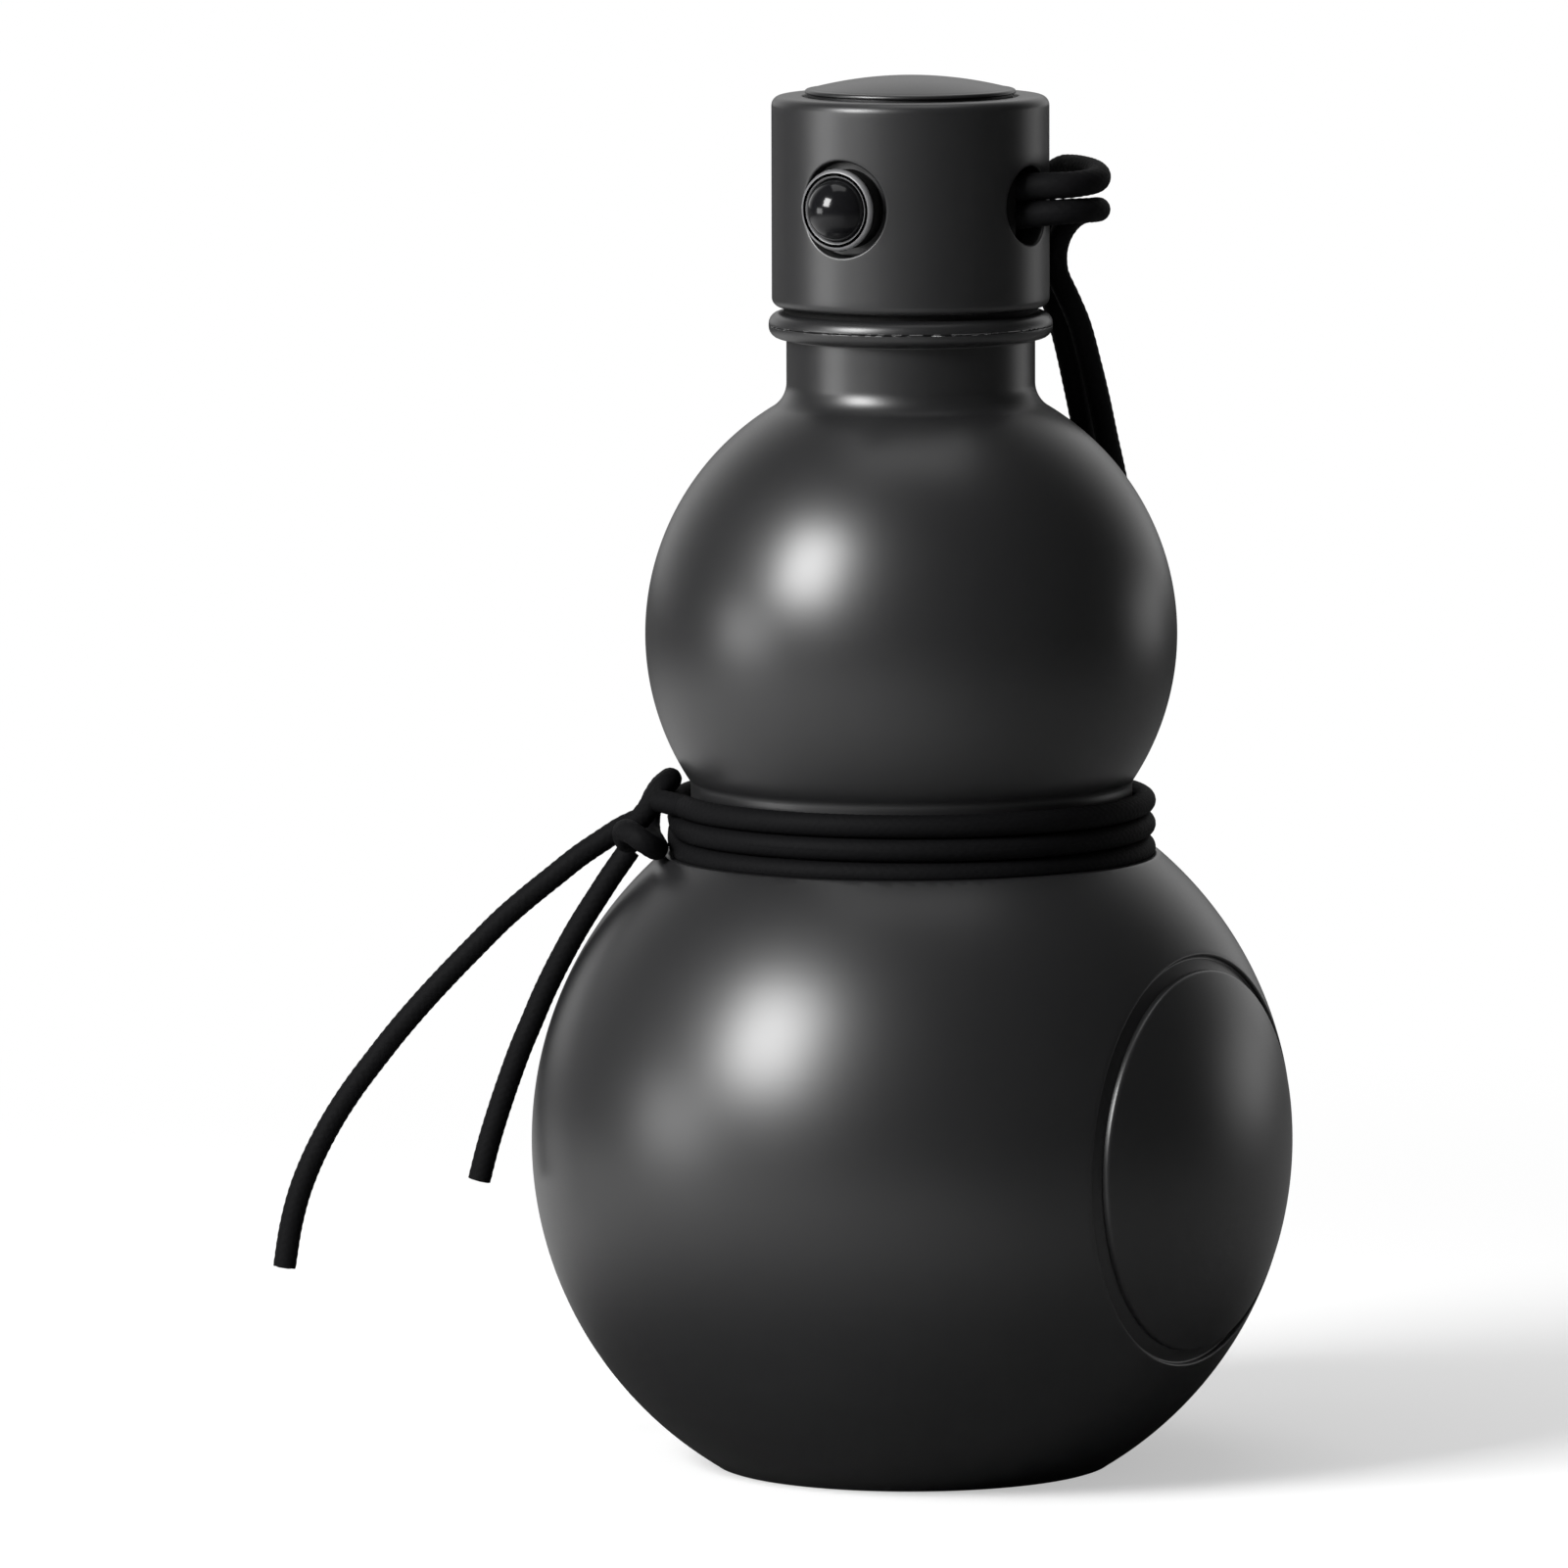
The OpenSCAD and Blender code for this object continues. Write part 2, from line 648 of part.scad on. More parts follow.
module lock_housing() {
    color(moulded_grey) difference() {
        translate([0, 0, housing_z]) cylinder(r = housing_r, h = housing_top_z - housing_z);
        translate([0, 0, housing_z - 1]) cylinder(r = housing_pocket_r, h = housing_pocket_depth + 1);
        translate([0, 0, housing_top_z - housing_pocket_depth])
            cylinder(r = housing_pocket_r, h = housing_pocket_depth + 1);
        translate([0, 0, feature_z]) {
            translate([0, bore_end_y, 0]) rotate([90, 0, 0])
                cylinder(r = plunger_bore_r, h = cap_r + bore_end_y);
            translate([0, bezel_seat_y + 1, 0]) rotate([90, 0, 0])
                cylinder(d = recess_d, h = cap_r);
            translate([channel_end, -pinch_half, -channel_half_h])
                cube([cap_r - channel_end, pinch_half + channel_back, channel_half_h * 2]);
        }
    }
}

module button_bezel() {
    outer = bezel_d / 2;
    width = outer - plunger_bore_r;
    round_r = min(bezel_fillet, width / 2);
    low = -bezel_seat_y - 1 + seat_gap;
    face = cap_r + bezel_rise;
    color(grey_metal) translate([0, 0, feature_z]) rotate([90, 0, 0]) rotate_extrude() {
        translate([plunger_bore_r, low]) square([width, face - round_r - low]);
        translate([plunger_bore_r + round_r, low]) square([width - round_r * 2, face - low]);
        for (x = [plunger_bore_r + round_r, outer - round_r])
            translate([x, face - round_r]) circle(r = round_r);
    }
}

module cap_cord() {
    bend_r = 2.4;
    bend_x = -3;
    bend = [for (a = [90:30:270]) [bend_x + bend_r * cos(a), 0, feature_z + bend_r * sin(a)]];
    color(deep_black) tube(concat(upper_strand_points, bend, lower_strand_points), cord_r);
}

module lock_spring() {
    wire_r = 0.45;
    coil_r = plunger_r - 1.1;
    coils = 4;
    length = spring_room - wire_r * 2 - seat_gap * 2;
    path = [for (i = [0:coils * 10]) [
        coil_r * cos(36 * i),
        plunger_back_y + wire_r + seat_gap + length * i / (coils * 10),
        feature_z + coil_r * sin(36 * i)
    ]];
    color(steel) tube(path, wire_r, 6);
}

module lock_plunger() {
    color(moulded_grey) translate([0, 0, feature_z]) difference() {
        translate([0, plunger_back_y, 0]) rotate([90, 0, 0])
            cylinder(r = plunger_r, h = plunger_back_y - plunger_face_y - seat_gap);
        translate([-plunger_r - 1, -pinch_half - button_travel, -slot_half_h])
            cube([plunger_r * 2 + 2, pinch_half * 2 + button_travel, slot_half_h * 2]);
    }
}

module button_dome() {
    crown_r = (pow(plunger_r, 2) + pow(button_crown, 2)) / (2 * button_crown);
    color(deep_black) translate([0, plunger_face_y, feature_z]) rotate([90, 0, 0]) intersection() {
        translate([0, 0, button_crown - crown_r]) sphere(r = crown_r);
        cylinder(r = plunger_r, h = button_crown + 1);
    }
}

outer_shell_lower();
outer_shell_upper();
base_plate();
port_cover();
inner_flask();
side_panel();
waist_wrap_single();
waist_wrap_double();
waist_knot();
tail_long();
tail_short();
tether_left();
tether_right();
mouth_seal();
cap_shell();
cap_top_disc();
stopper_plug();
plug_insulation();
lock_housing();
button_bezel();
cap_cord();
lock_spring();
lock_plunger();
button_dome();
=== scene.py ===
"""Double-gourd vacuum bottle: a satin black body, a screw cap with a cord lock, and a braided tether."""

import math

import bmesh
import bpy
from bpy.props import FloatProperty, FloatVectorProperty, IntProperty, PointerProperty
from bpy.types import Operator, Panel, PropertyGroup
from mathutils import Matrix, Vector


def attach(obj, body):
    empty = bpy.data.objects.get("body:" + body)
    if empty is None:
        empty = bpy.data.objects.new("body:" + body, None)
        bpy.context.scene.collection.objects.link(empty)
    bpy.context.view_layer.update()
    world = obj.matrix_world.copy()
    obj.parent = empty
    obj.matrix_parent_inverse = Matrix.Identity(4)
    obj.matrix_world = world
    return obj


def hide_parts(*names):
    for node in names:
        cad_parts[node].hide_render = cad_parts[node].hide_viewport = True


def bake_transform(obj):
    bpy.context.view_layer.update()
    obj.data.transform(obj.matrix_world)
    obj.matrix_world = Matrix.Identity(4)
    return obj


bl_info = {
    "name": "Gourd Water Bottle",
    "version": (1, 0, 0),
    "blender": (4, 5, 0),
    "location": "View3D > Sidebar > Bottle",
    "description": "Builds a double-gourd vacuum bottle with a tethered screw cap",
    "category": "Object",
}

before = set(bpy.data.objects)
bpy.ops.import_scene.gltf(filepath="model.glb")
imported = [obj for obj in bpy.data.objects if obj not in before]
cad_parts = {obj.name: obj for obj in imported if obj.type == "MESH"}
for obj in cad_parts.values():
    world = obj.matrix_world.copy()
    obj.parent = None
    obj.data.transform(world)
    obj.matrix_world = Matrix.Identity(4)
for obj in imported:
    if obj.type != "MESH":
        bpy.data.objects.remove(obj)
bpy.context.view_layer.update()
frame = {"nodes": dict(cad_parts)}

MM = 0.001


# Helpers for numbers and outlines


def mm(*values):
    """A point given in millimetres, in metres."""
    return Vector(values) * MM


def arc(centre_r, centre_z, radius, start, end, steps):
    """Points along an arc of a half section, with angles in degrees from the outward direction."""
    angles = [math.radians(start + (end - start) * i / steps) for i in range(steps + 1)]
    return [(centre_r + radius * math.cos(a), centre_z + radius * math.sin(a)) for a in angles]


def rounded(corners, steps=6, support=0.25):
    """A half section through (r, z, fillet) corners, with arcs at the fillets and a support point beside each."""
    points = []
    count = len(corners)
    for i, (r, z, fillet) in enumerate(corners):
        here = Vector((r, z))
        if fillet == 0 or i in (0, count - 1):
            points.append((r, z))
            continue
        before = (Vector(corners[i - 1][:2]) - here).normalized()
        after = (Vector(corners[i + 1][:2]) - here).normalized()
        half = before.angle(after) / 2
        reach = fillet / math.tan(half)
        centre = here + (before + after).normalized() * (fillet / math.sin(half))
        first = here + before * reach - centre
        turn = math.pi - 2 * half
        side = 1 if before.x * after.y - before.y * after.x < 0 else -1
        start_room = (Vector(corners[i - 1][:2]) - here).length - reach
        end_room = (Vector(corners[i + 1][:2]) - here).length - reach
        if start_room > support * 2:
            points.append(tuple(here + before * (reach + support)))
        for k in range(steps + 1):
            a = side * turn * k / steps
            points.append((
                centre.x + first.x * math.cos(a) - first.y * math.sin(a),
                centre.y + first.x * math.sin(a) + first.y * math.cos(a),
            ))
        if end_room > support * 2:
            points.append(tuple(here + after * (reach + support)))
    return points


def smooth_path(points, step):
    """A dense path through chosen points in millimetres, by a centripetal Catmull-Rom curve, in metres."""
    knots = [Vector(p) for p in points]
    knots = [knots[0] * 2 - knots[1]] + knots + [knots[-1] * 2 - knots[-2]]
    path = []
    for i in range(1, len(knots) - 2):
        p0, p1, p2, p3 = knots[i - 1:i + 3]
        t0 = 0.0
        t1 = t0 + math.sqrt((p1 - p0).length)
        t2 = t1 + math.sqrt((p2 - p1).length)
        t3 = t2 + math.sqrt((p3 - p2).length)
        count = max(2, round((p2 - p1).length / step))
        for k in range(count):
            t = t1 + (t2 - t1) * k / count
            a1 = p0 * ((t1 - t) / (t1 - t0)) + p1 * ((t - t0) / (t1 - t0))
            a2 = p1 * ((t2 - t) / (t2 - t1)) + p2 * ((t - t1) / (t2 - t1))
            a3 = p2 * ((t3 - t) / (t3 - t2)) + p3 * ((t - t2) / (t3 - t2))
            b1 = a1 * ((t2 - t) / (t2 - t0)) + a2 * ((t - t0) / (t2 - t0))
            b2 = a2 * ((t3 - t) / (t3 - t1)) + a3 * ((t - t1) / (t3 - t1))
            path.append(b1 * ((t2 - t) / (t2 - t1)) + b2 * ((t - t1) / (t2 - t1)))
    path.append(knots[-2])
    return [p * MM for p in path]


# Helpers for objects


def link(obj):
    bpy.context.scene.collection.objects.link(obj)
    return obj


def mesh_object(name, points, faces=(), edges=()):
    mesh = bpy.data.meshes.new(name)
    mesh.from_pydata([tuple(p) for p in points], list(edges), list(faces))
    mesh.update()
    return link(bpy.data.objects.new(name, mesh))


def polyline_object(name, points):
    return mesh_object(name, points, edges=[(i, i + 1) for i in range(len(points) - 1)])


def apply_modifiers(obj):
    """Turns the evaluated object into a plain mesh and removes its modifiers."""
    bpy.context.view_layer.update()
    evaluated = obj.evaluated_get(bpy.context.evaluated_depsgraph_get())
    mesh = bpy.data.meshes.new_from_object(evaluated)
    obj.modifiers.clear()
    old = obj.data
    obj.data = mesh
    mesh.name = obj.name
    bpy.data.meshes.remove(old)
    return obj


def set_inputs(modifier, values):
    """Sets a Geometry Nodes modifier's inputs, by the names that its tree gives them."""
    for item in modifier.node_group.interface.items_tree:
        if item.item_type == "SOCKET" and item.in_out == "INPUT" and item.name in values:
            modifier[item.identifier] = values[item.name]


def face_outwards(obj):
    work = bmesh.new()
    work.from_mesh(obj.data)
    bmesh.ops.remove_doubles(work, verts=work.verts, dist=1e-7)
    bmesh.ops.recalc_face_normals(work, faces=work.faces)
    work.to_mesh(obj.data)
    work.free()
    obj.data.shade_smooth()


def finish_piece(obj, material, body, nodes=()):
    """Gives a finished piece its material and body, and hides the CAD nodes that it stands for."""
    obj.data.materials.clear()
    obj.data.materials.append(material)
    if body:
        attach(obj, body)
    if nodes:
        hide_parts(*nodes)
    return obj


# Geometry Nodes trees


class Tree:
    """A short way to write a node tree: sockets by name, and links from left to right."""

    def __init__(self, name, kind):
        self.tree = bpy.data.node_groups.new(name, kind)
        self.column = 0

    def socket(self, name, in_out, kind, default=None, low=None, high=None):
        item = self.tree.interface.new_socket(name=name, in_out=in_out, socket_type=kind)
        if default is not None:
            item.default_value = default
        if low is not None:
            item.min_value = low
        if high is not None:
            item.max_value = high
        return item

    def node(self, kind, inputs=None, **settings):
        made = self.tree.nodes.new(kind)
        made.location = (self.column * 180, 0)
        self.column += 1
        for key, value in settings.items():
            setattr(made, key, value)
        for key, value in (inputs or {}).items():
            self.feed(made.inputs[key], value)
        return made

    def feed(self, socket, value):
        if isinstance(value, bpy.types.NodeSocket):
            self.tree.links.new(value, socket)
        else:
            socket.default_value = value

    def math(self, operation, *values):
        made = self.node("ShaderNodeMath", operation=operation)
        for socket, value in zip(made.inputs, values):
            self.feed(socket, value)
        return made.outputs[0]


def turned_tree():
    """Turns a half section about Z. The object's own vertices, in order, are the section as (r, 0, z)."""
    t = Tree("Turned Shape", "GeometryNodeTree")
    t.socket("Geometry", "INPUT", "NodeSocketGeometry")
    t.socket("Steps Round", "INPUT", "NodeSocketInt", 192, 8, 720)
    t.socket("Material", "INPUT", "NodeSocketMaterial")
    t.socket("Geometry", "OUTPUT", "NodeSocketGeometry")
    source = t.node("NodeGroupInput")
    size = t.node("GeometryNodeAttributeDomainSize", {0: source.outputs["Geometry"]})
    points = size.outputs["Point Count"]
    columns = t.math("ADD", source.outputs["Steps Round"], 1)
    grid = t.node("GeometryNodeMeshGrid", {"Vertices X": columns, "Vertices Y": points})
    index = t.node("GeometryNodeInputIndex").outputs[0]
    column = t.math("FLOOR", t.math("DIVIDE", t.math("ADD", index, 0.5), points))
    row = t.math("SUBTRACT", index, t.math("MULTIPLY", column, points))
    place = t.node("GeometryNodeInputPosition").outputs[0]
    sample = t.node("GeometryNodeSampleIndex", data_type="FLOAT_VECTOR")
    t.feed(sample.inputs["Geometry"], source.outputs["Geometry"])
    t.feed([s for s in sample.inputs if s.name == "Value" and s.enabled][0], place)
    t.feed(sample.inputs["Index"], row)
    section = t.node("ShaderNodeSeparateXYZ", {0: sample.outputs[0]})
    turn = t.math("MULTIPLY", t.math("DIVIDE", column, source.outputs["Steps Round"]), math.tau)
    x = t.math("MULTIPLY", section.outputs["X"], t.math("COSINE", turn))
    y = t.math("MULTIPLY", section.outputs["X"], t.math("SINE", turn))
    target = t.node("ShaderNodeCombineXYZ", {"X": x, "Y": y, "Z": section.outputs["Z"]})
    moved = t.node("GeometryNodeSetPosition", {"Geometry": grid.outputs["Mesh"], "Position": target.outputs[0]})
    merged = t.node("GeometryNodeMergeByDistance", {"Geometry": moved.outputs[0], "Distance": 1e-6})
    smooth = t.node("GeometryNodeSetShadeSmooth", {0: merged.outputs[0]})
    real = t.node("GeometryNodeRealizeInstances", {0: smooth.outputs[0]})
    coated = t.node("GeometryNodeSetMaterial", {"Geometry": real.outputs[0], "Material": source.outputs["Material"]})
    t.node("NodeGroupOutput", {"Geometry": coated.outputs[0]})
    return t.tree


def braid_tree():
    """A round braid along a path: two families of yarns that pass over and under each other."""
    t = Tree("Braided Cord", "GeometryNodeTree")
    t.socket("Geometry", "INPUT", "NodeSocketGeometry")
    t.socket("Diameter", "INPUT", "NodeSocketFloat", 0.0035, 0.0001)
    t.socket("Yarns Each Way", "INPUT", "NodeSocketInt", 8, 3, 24)
    t.socket("Lay Length", "INPUT", "NodeSocketFloat", 0.012, 0.001)
    t.socket("Relief", "INPUT", "NodeSocketFloat", 0.00012, 0.0)
    t.socket("Swell", "INPUT", "NodeSocketFloat", 0.0, 0.0)
    t.socket("Ring Step", "INPUT", "NodeSocketFloat", 0.0003, 0.00005)
    t.socket("Sides", "INPUT", "NodeSocketInt", 48, 8, 128)
    t.socket("Material", "INPUT", "NodeSocketMaterial")
    t.socket("Geometry", "OUTPUT", "NodeSocketGeometry")
    source = t.node("NodeGroupInput")
    curve = t.node("GeometryNodeMeshToCurve", {0: source.outputs["Geometry"]})
    even = t.node("GeometryNodeResampleCurve", mode="LENGTH")
    t.feed(even.inputs["Curve"], curve.outputs[0])
    t.feed(even.inputs["Length"], source.outputs["Ring Step"])
    length = t.node("GeometryNodeSplineParameter").outputs["Length"]
    along = t.node("GeometryNodeStoreNamedAttribute", data_type="FLOAT", domain="POINT")
    t.feed(along.inputs["Geometry"], even.outputs[0])
    t.feed(along.inputs["Name"], "cord_along")
    t.feed(along.inputs["Value"], length)
    share = t.node("GeometryNodeStoreNamedAttribute", data_type="FLOAT", domain="POINT")
    t.feed(share.inputs["Geometry"], along.outputs[0])
    t.feed(share.inputs["Name"], "cord_share")
    t.feed(share.inputs["Value"], t.node("GeometryNodeSplineParameter").outputs["Factor"])
    radius = t.math("MULTIPLY", source.outputs["Diameter"], 0.5)
    circle = t.node("GeometryNodeCurvePrimitiveCircle", {"Resolution": source.outputs["Sides"]})
    t.feed(circle.inputs["Radius"], radius)
    factor = t.node("GeometryNodeSplineParameter").outputs["Factor"]
    around = t.node("GeometryNodeStoreNamedAttribute", data_type="FLOAT", domain="POINT")
    t.feed(around.inputs["Geometry"], circle.outputs[0])
    t.feed(around.inputs["Name"], "cord_around")
    t.feed(around.inputs["Value"], factor)
    sweep = t.node("GeometryNodeCurveToMesh", {"Curve": share.outputs[0], "Profile Curve": around.outputs[0]})
    sweep.inputs["Fill Caps"].default_value = True

    def named(name):
        read = t.node("GeometryNodeInputNamedAttribute", data_type="FLOAT")
        read.inputs["Name"].default_value = name
        return read.outputs[0]

    yarns = source.outputs["Yarns Each Way"]
    turn = t.math("MULTIPLY", named("cord_around"), yarns)
    lay = t.math("MULTIPLY", t.math("DIVIDE", named("cord_along"), source.outputs["Lay Length"]), yarns)
    first = t.math("ADD", turn, lay)
    second = t.math("SUBTRACT", turn, lay)

    def from_middle(value):
        return t.math("MULTIPLY", t.math("ABSOLUTE", t.math("SUBTRACT", t.math("FRACT", value), 0.5)), 2.0)

    def crown(across, lengthwise):
        width = t.math("SQRT", t.math("MAXIMUM", t.math("SUBTRACT", 1.0, t.math("POWER", across, 2.0)), 0.0))
        dip = t.math("SUBTRACT", 1.0, t.math("MULTIPLY", t.math("POWER", lengthwise, 2.0), 0.45))
        return t.math("MULTIPLY", width, dip)

    over = t.math("FLOORED_MODULO", t.math("ADD", t.math("FLOOR", first), t.math("FLOOR", second)), 2.0)
    first_off = from_middle(first)
    second_off = from_middle(second)
    under_part = t.math("MULTIPLY", crown(first_off, second_off), t.math("SUBTRACT", 1.0, over))
    height = t.math("ADD", under_part, t.math("MULTIPLY", crown(second_off, first_off), over))
    wave = t.math("POWER", t.math("SINE", t.math("MULTIPLY", named("cord_share"), math.pi)), 2.0)
    swell = t.math("MULTIPLY", t.math("MULTIPLY", wave, source.outputs["Swell"]), radius)
    lift = t.math("ADD", t.math("MULTIPLY", t.math("SUBTRACT", height, 0.7), source.outputs["Relief"]), swell)
    normal = t.node("GeometryNodeInputNormal").outputs[0]
    offset = t.node("ShaderNodeVectorMath", operation="SCALE")
    t.feed(offset.inputs[0], normal)
    t.feed(offset.inputs["Scale"], lift)
    shaped = t.node("GeometryNodeSetPosition", {"Geometry": sweep.outputs[0], "Offset": offset.outputs[0]})
    smooth = t.node("GeometryNodeSetShadeSmooth", {0: shaped.outputs[0]})
    real = t.node("GeometryNodeRealizeInstances", {0: smooth.outputs[0]})
    coated = t.node("GeometryNodeSetMaterial", {"Geometry": real.outputs[0], "Material": source.outputs["Material"]})
    t.node("NodeGroupOutput", {"Geometry": coated.outputs[0]})
    return t.tree


def tree_named(name, make):
    return bpy.data.node_groups.get(name) or make()


def turned(name, section, material, steps=192, axis="Z", centre=(0, 0, 0)):
    """A piece turned from a half section in millimetres, about Z or about +X through centre."""
    obj = polyline_object(name, [mm(r, 0, z) for r, z in section])
    modifier = obj.modifiers.new("Turned", "NODES")
    modifier.node_group = tree_named("Turned Shape", turned_tree)
    set_inputs(modifier, {"Steps Round": steps, "Material": material})
    apply_modifiers(obj)
    if axis == "X":
        obj.data.transform(Matrix.Rotation(math.pi / 2, 4, "Y"))
    if axis == "-Y":
        obj.data.transform(Matrix.Rotation(math.pi / 2, 4, "X"))
    obj.data.transform(Matrix.Translation(mm(*centre)))
    face_outwards(obj)
    return obj


def braided(name, path, diameter, material, swell=0.0):
    """A braided cord along a path in metres."""
    sizes = bpy.context.scene.bottle_cord
    obj = polyline_object(name, path)
    modifier = obj.modifiers.new("Braid", "NODES")
    modifier.node_group = tree_named("Braided Cord", braid_tree)
    set_inputs(modifier, {
        "Diameter": diameter, "Yarns Each Way": sizes.yarns_each_way, "Lay Length": sizes.lay_length,
        "Relief": sizes.relief, "Ring Step": sizes.ring_step, "Sides": sizes.sides, "Material": material,
        "Swell": swell,
    })
    apply_modifiers(obj)
    return obj


# Materials


def grain_group():
    """Two scales of fine grain, as in a powder coat, and slow variation over the surface."""
    t = Tree("Fine Grain", "ShaderNodeTree")
    t.socket("Grain Scale", "INPUT", "NodeSocketFloat", 2500.0)
    t.socket("Cloud Scale", "INPUT", "NodeSocketFloat", 25.0)
    t.socket("Grain", "OUTPUT", "NodeSocketFloat")
    t.socket("Cloud", "OUTPUT", "NodeSocketFloat")
    source = t.node("NodeGroupInput")
    place = t.node("ShaderNodeTexCoord").outputs["Object"]
    fine = t.node("ShaderNodeTexNoise", {"Vector": place, "Scale": source.outputs["Grain Scale"], "Detail": 3.0})
    slow = t.node("ShaderNodeTexNoise", {"Vector": place, "Scale": source.outputs["Cloud Scale"], "Detail": 4.0})
    t.node("NodeGroupOutput", {"Grain": fine.outputs[0], "Cloud": slow.outputs[0]})
    return t.tree


def fibre_group():
    """Fine fibres that run along the yarns of a braid, from the attributes that the braid stores."""
    t = Tree("Braid Fibres", "ShaderNodeTree")
    t.socket("Yarns Each Way", "INPUT", "NodeSocketFloat", 8.0)
    t.socket("Lay Length", "INPUT", "NodeSocketFloat", 0.012)
    t.socket("Shade", "OUTPUT", "NodeSocketFloat")
    source = t.node("NodeGroupInput")
    around = t.node("ShaderNodeAttribute", attribute_name="cord_around").outputs["Fac"]
    along = t.node("ShaderNodeAttribute", attribute_name="cord_along").outputs["Fac"]
    yarns = source.outputs["Yarns Each Way"]
    turn = t.math("MULTIPLY", around, yarns)
    lay = t.math("MULTIPLY", t.math("DIVIDE", along, source.outputs["Lay Length"]), yarns)
    first = t.math("ADD", turn, lay)
    second = t.math("SUBTRACT", turn, lay)
    over = t.math("FLOORED_MODULO", t.math("ADD", t.math("FLOOR", first), t.math("FLOOR", second)), 2.0)
    across = t.math("ADD", t.math("MULTIPLY", first, t.math("SUBTRACT", 1.0, over)), t.math("MULTIPLY", second, over))
    wave = t.math("SINE", t.math("MULTIPLY", across, math.tau * 5))
    place = t.node("ShaderNodeTexCoord").outputs["Object"]
    fuzz = t.node("ShaderNodeTexNoise", {"Vector": place, "Scale": 1800.0, "Detail": 2.0})
    mixed = t.math("ADD", t.math("MULTIPLY", wave, 0.2), fuzz.outputs[0])
    t.node("NodeGroupOutput", {"Shade": mixed})
    return t.tree


def new_material(name, **settings):
    """A material with a Principled shader whose uniform values are set on its own sockets."""
    material = bpy.data.materials.new(name)
    material.use_nodes = True
    shader = material.node_tree.nodes["Principled BSDF"]
    for key, value in settings.items():
        shader.inputs[key.replace("_", " ")].default_value = value
    return material, shader


def add_grain(material, shader, dark, light, rough, grain_scale, depth, cloud_scale=25.0):
    """Varies colour and roughness over the surface and adds a fine bump."""
    nodes = material.node_tree.nodes
    links = material.node_tree.links
    group = nodes.new("ShaderNodeGroup")
    group.node_tree = tree_named("Fine Grain", grain_group)
    group.inputs["Grain Scale"].default_value = grain_scale
    group.inputs["Cloud Scale"].default_value = cloud_scale
    tint = nodes.new("ShaderNodeMapRange")
    tint.inputs["From Min"].default_value = 0.3
    tint.inputs["From Max"].default_value = 0.7
    links.new(group.outputs["Cloud"], tint.inputs["Value"])
    mix = nodes.new("ShaderNodeMix")
    mix.data_type = "RGBA"
    mix.inputs["A"].default_value = (*dark, 1)
    mix.inputs["B"].default_value = (*light, 1)
    links.new(tint.outputs[0], mix.inputs["Factor"])
    links.new(mix.outputs["Result"], shader.inputs["Base Color"])
    matt = nodes.new("ShaderNodeMapRange")
    matt.inputs["From Min"].default_value = 0.3
    matt.inputs["From Max"].default_value = 0.7
    matt.inputs["To Min"].default_value = rough[0]
    matt.inputs["To Max"].default_value = rough[1]
    links.new(group.outputs["Grain"], matt.inputs["Value"])
    links.new(matt.outputs[0], shader.inputs["Roughness"])
    bump = nodes.new("ShaderNodeBump")
    bump.inputs["Strength"].default_value = 0.35
    bump.inputs["Distance"].default_value = depth
    links.new(group.outputs["Grain"], bump.inputs["Height"])
    links.new(bump.outputs["Normal"], shader.inputs["Normal"])
    return material


def grained(name, colour, spread, rough, grain_scale, depth, **settings):
    """A finish whose colour varies by spread about the given colour."""
    existing = bpy.data.materials.get(name)
    if existing:
        return existing
    material, shader = new_material(name, **settings)
    dark = [c * (1 - spread) for c in colour]
    light = [c * (1 + spread) for c in colour]
    return add_grain(material, shader, dark, light, rough, grain_scale, depth)


def body_finish():
    looks = bpy.context.scene.bottle_looks
    return grained("satin_black_coat", looks.body_colour, 0.10, (looks.body_roughness - 0.02, looks.body_roughness + 0.02),
                   5200.0, 0.00001)


def cap_finish():
    looks = bpy.context.scene.bottle_looks
    return grained("satin_black_cap", looks.body_colour, 0.10, (looks.cap_roughness - 0.02, looks.cap_roughness + 0.02),
                   5200.0, 0.00001)


def bezel_finish():
    looks = bpy.context.scene.bottle_looks
    return grained("grey_metal_ring", looks.ring_colour, 0.08, (0.44, 0.52), 4000.0, 0.000008, Metallic=0.3)


def button_finish():
    looks = bpy.context.scene.bottle_looks
    return grained("gloss_black_button", looks.button_colour, 0.05, (0.13, 0.16), 1500.0, 0.000001,
                   Specular_IOR_Level=0.25)


def steel_finish():
    return grained("polished_steel", (0.55, 0.55, 0.56), 0.06, (0.22, 0.34), 3000.0, 0.000006, Metallic=1.0)


def moulded_finish():
    return grained("moulded_grey_plastic", (0.035, 0.035, 0.037), 0.10, (0.42, 0.52), 2600.0, 0.00001)


# Near-black plastic as painted shade: it makes the lock inside the cord hole and the sleeve under the button's ring
# read as dark as their shadow.
def painted_shade_black_finish():
    return grained("painted_shade_black_plastic", (0.003, 0.003, 0.003), 0.10, (0.6, 0.7), 2600.0, 0.00001,
                   Specular_IOR_Level=0.1)


def foam_finish():
    return grained("white_foam", (0.80, 0.80, 0.76), 0.05, (0.80, 0.92), 1500.0, 0.0001)


def seal_finish():
    return grained("black_silicone", (0.004, 0.004, 0.004), 0.12, (0.70, 0.80), 2000.0, 0.00001,
                   Specular_IOR_Level=0.1)


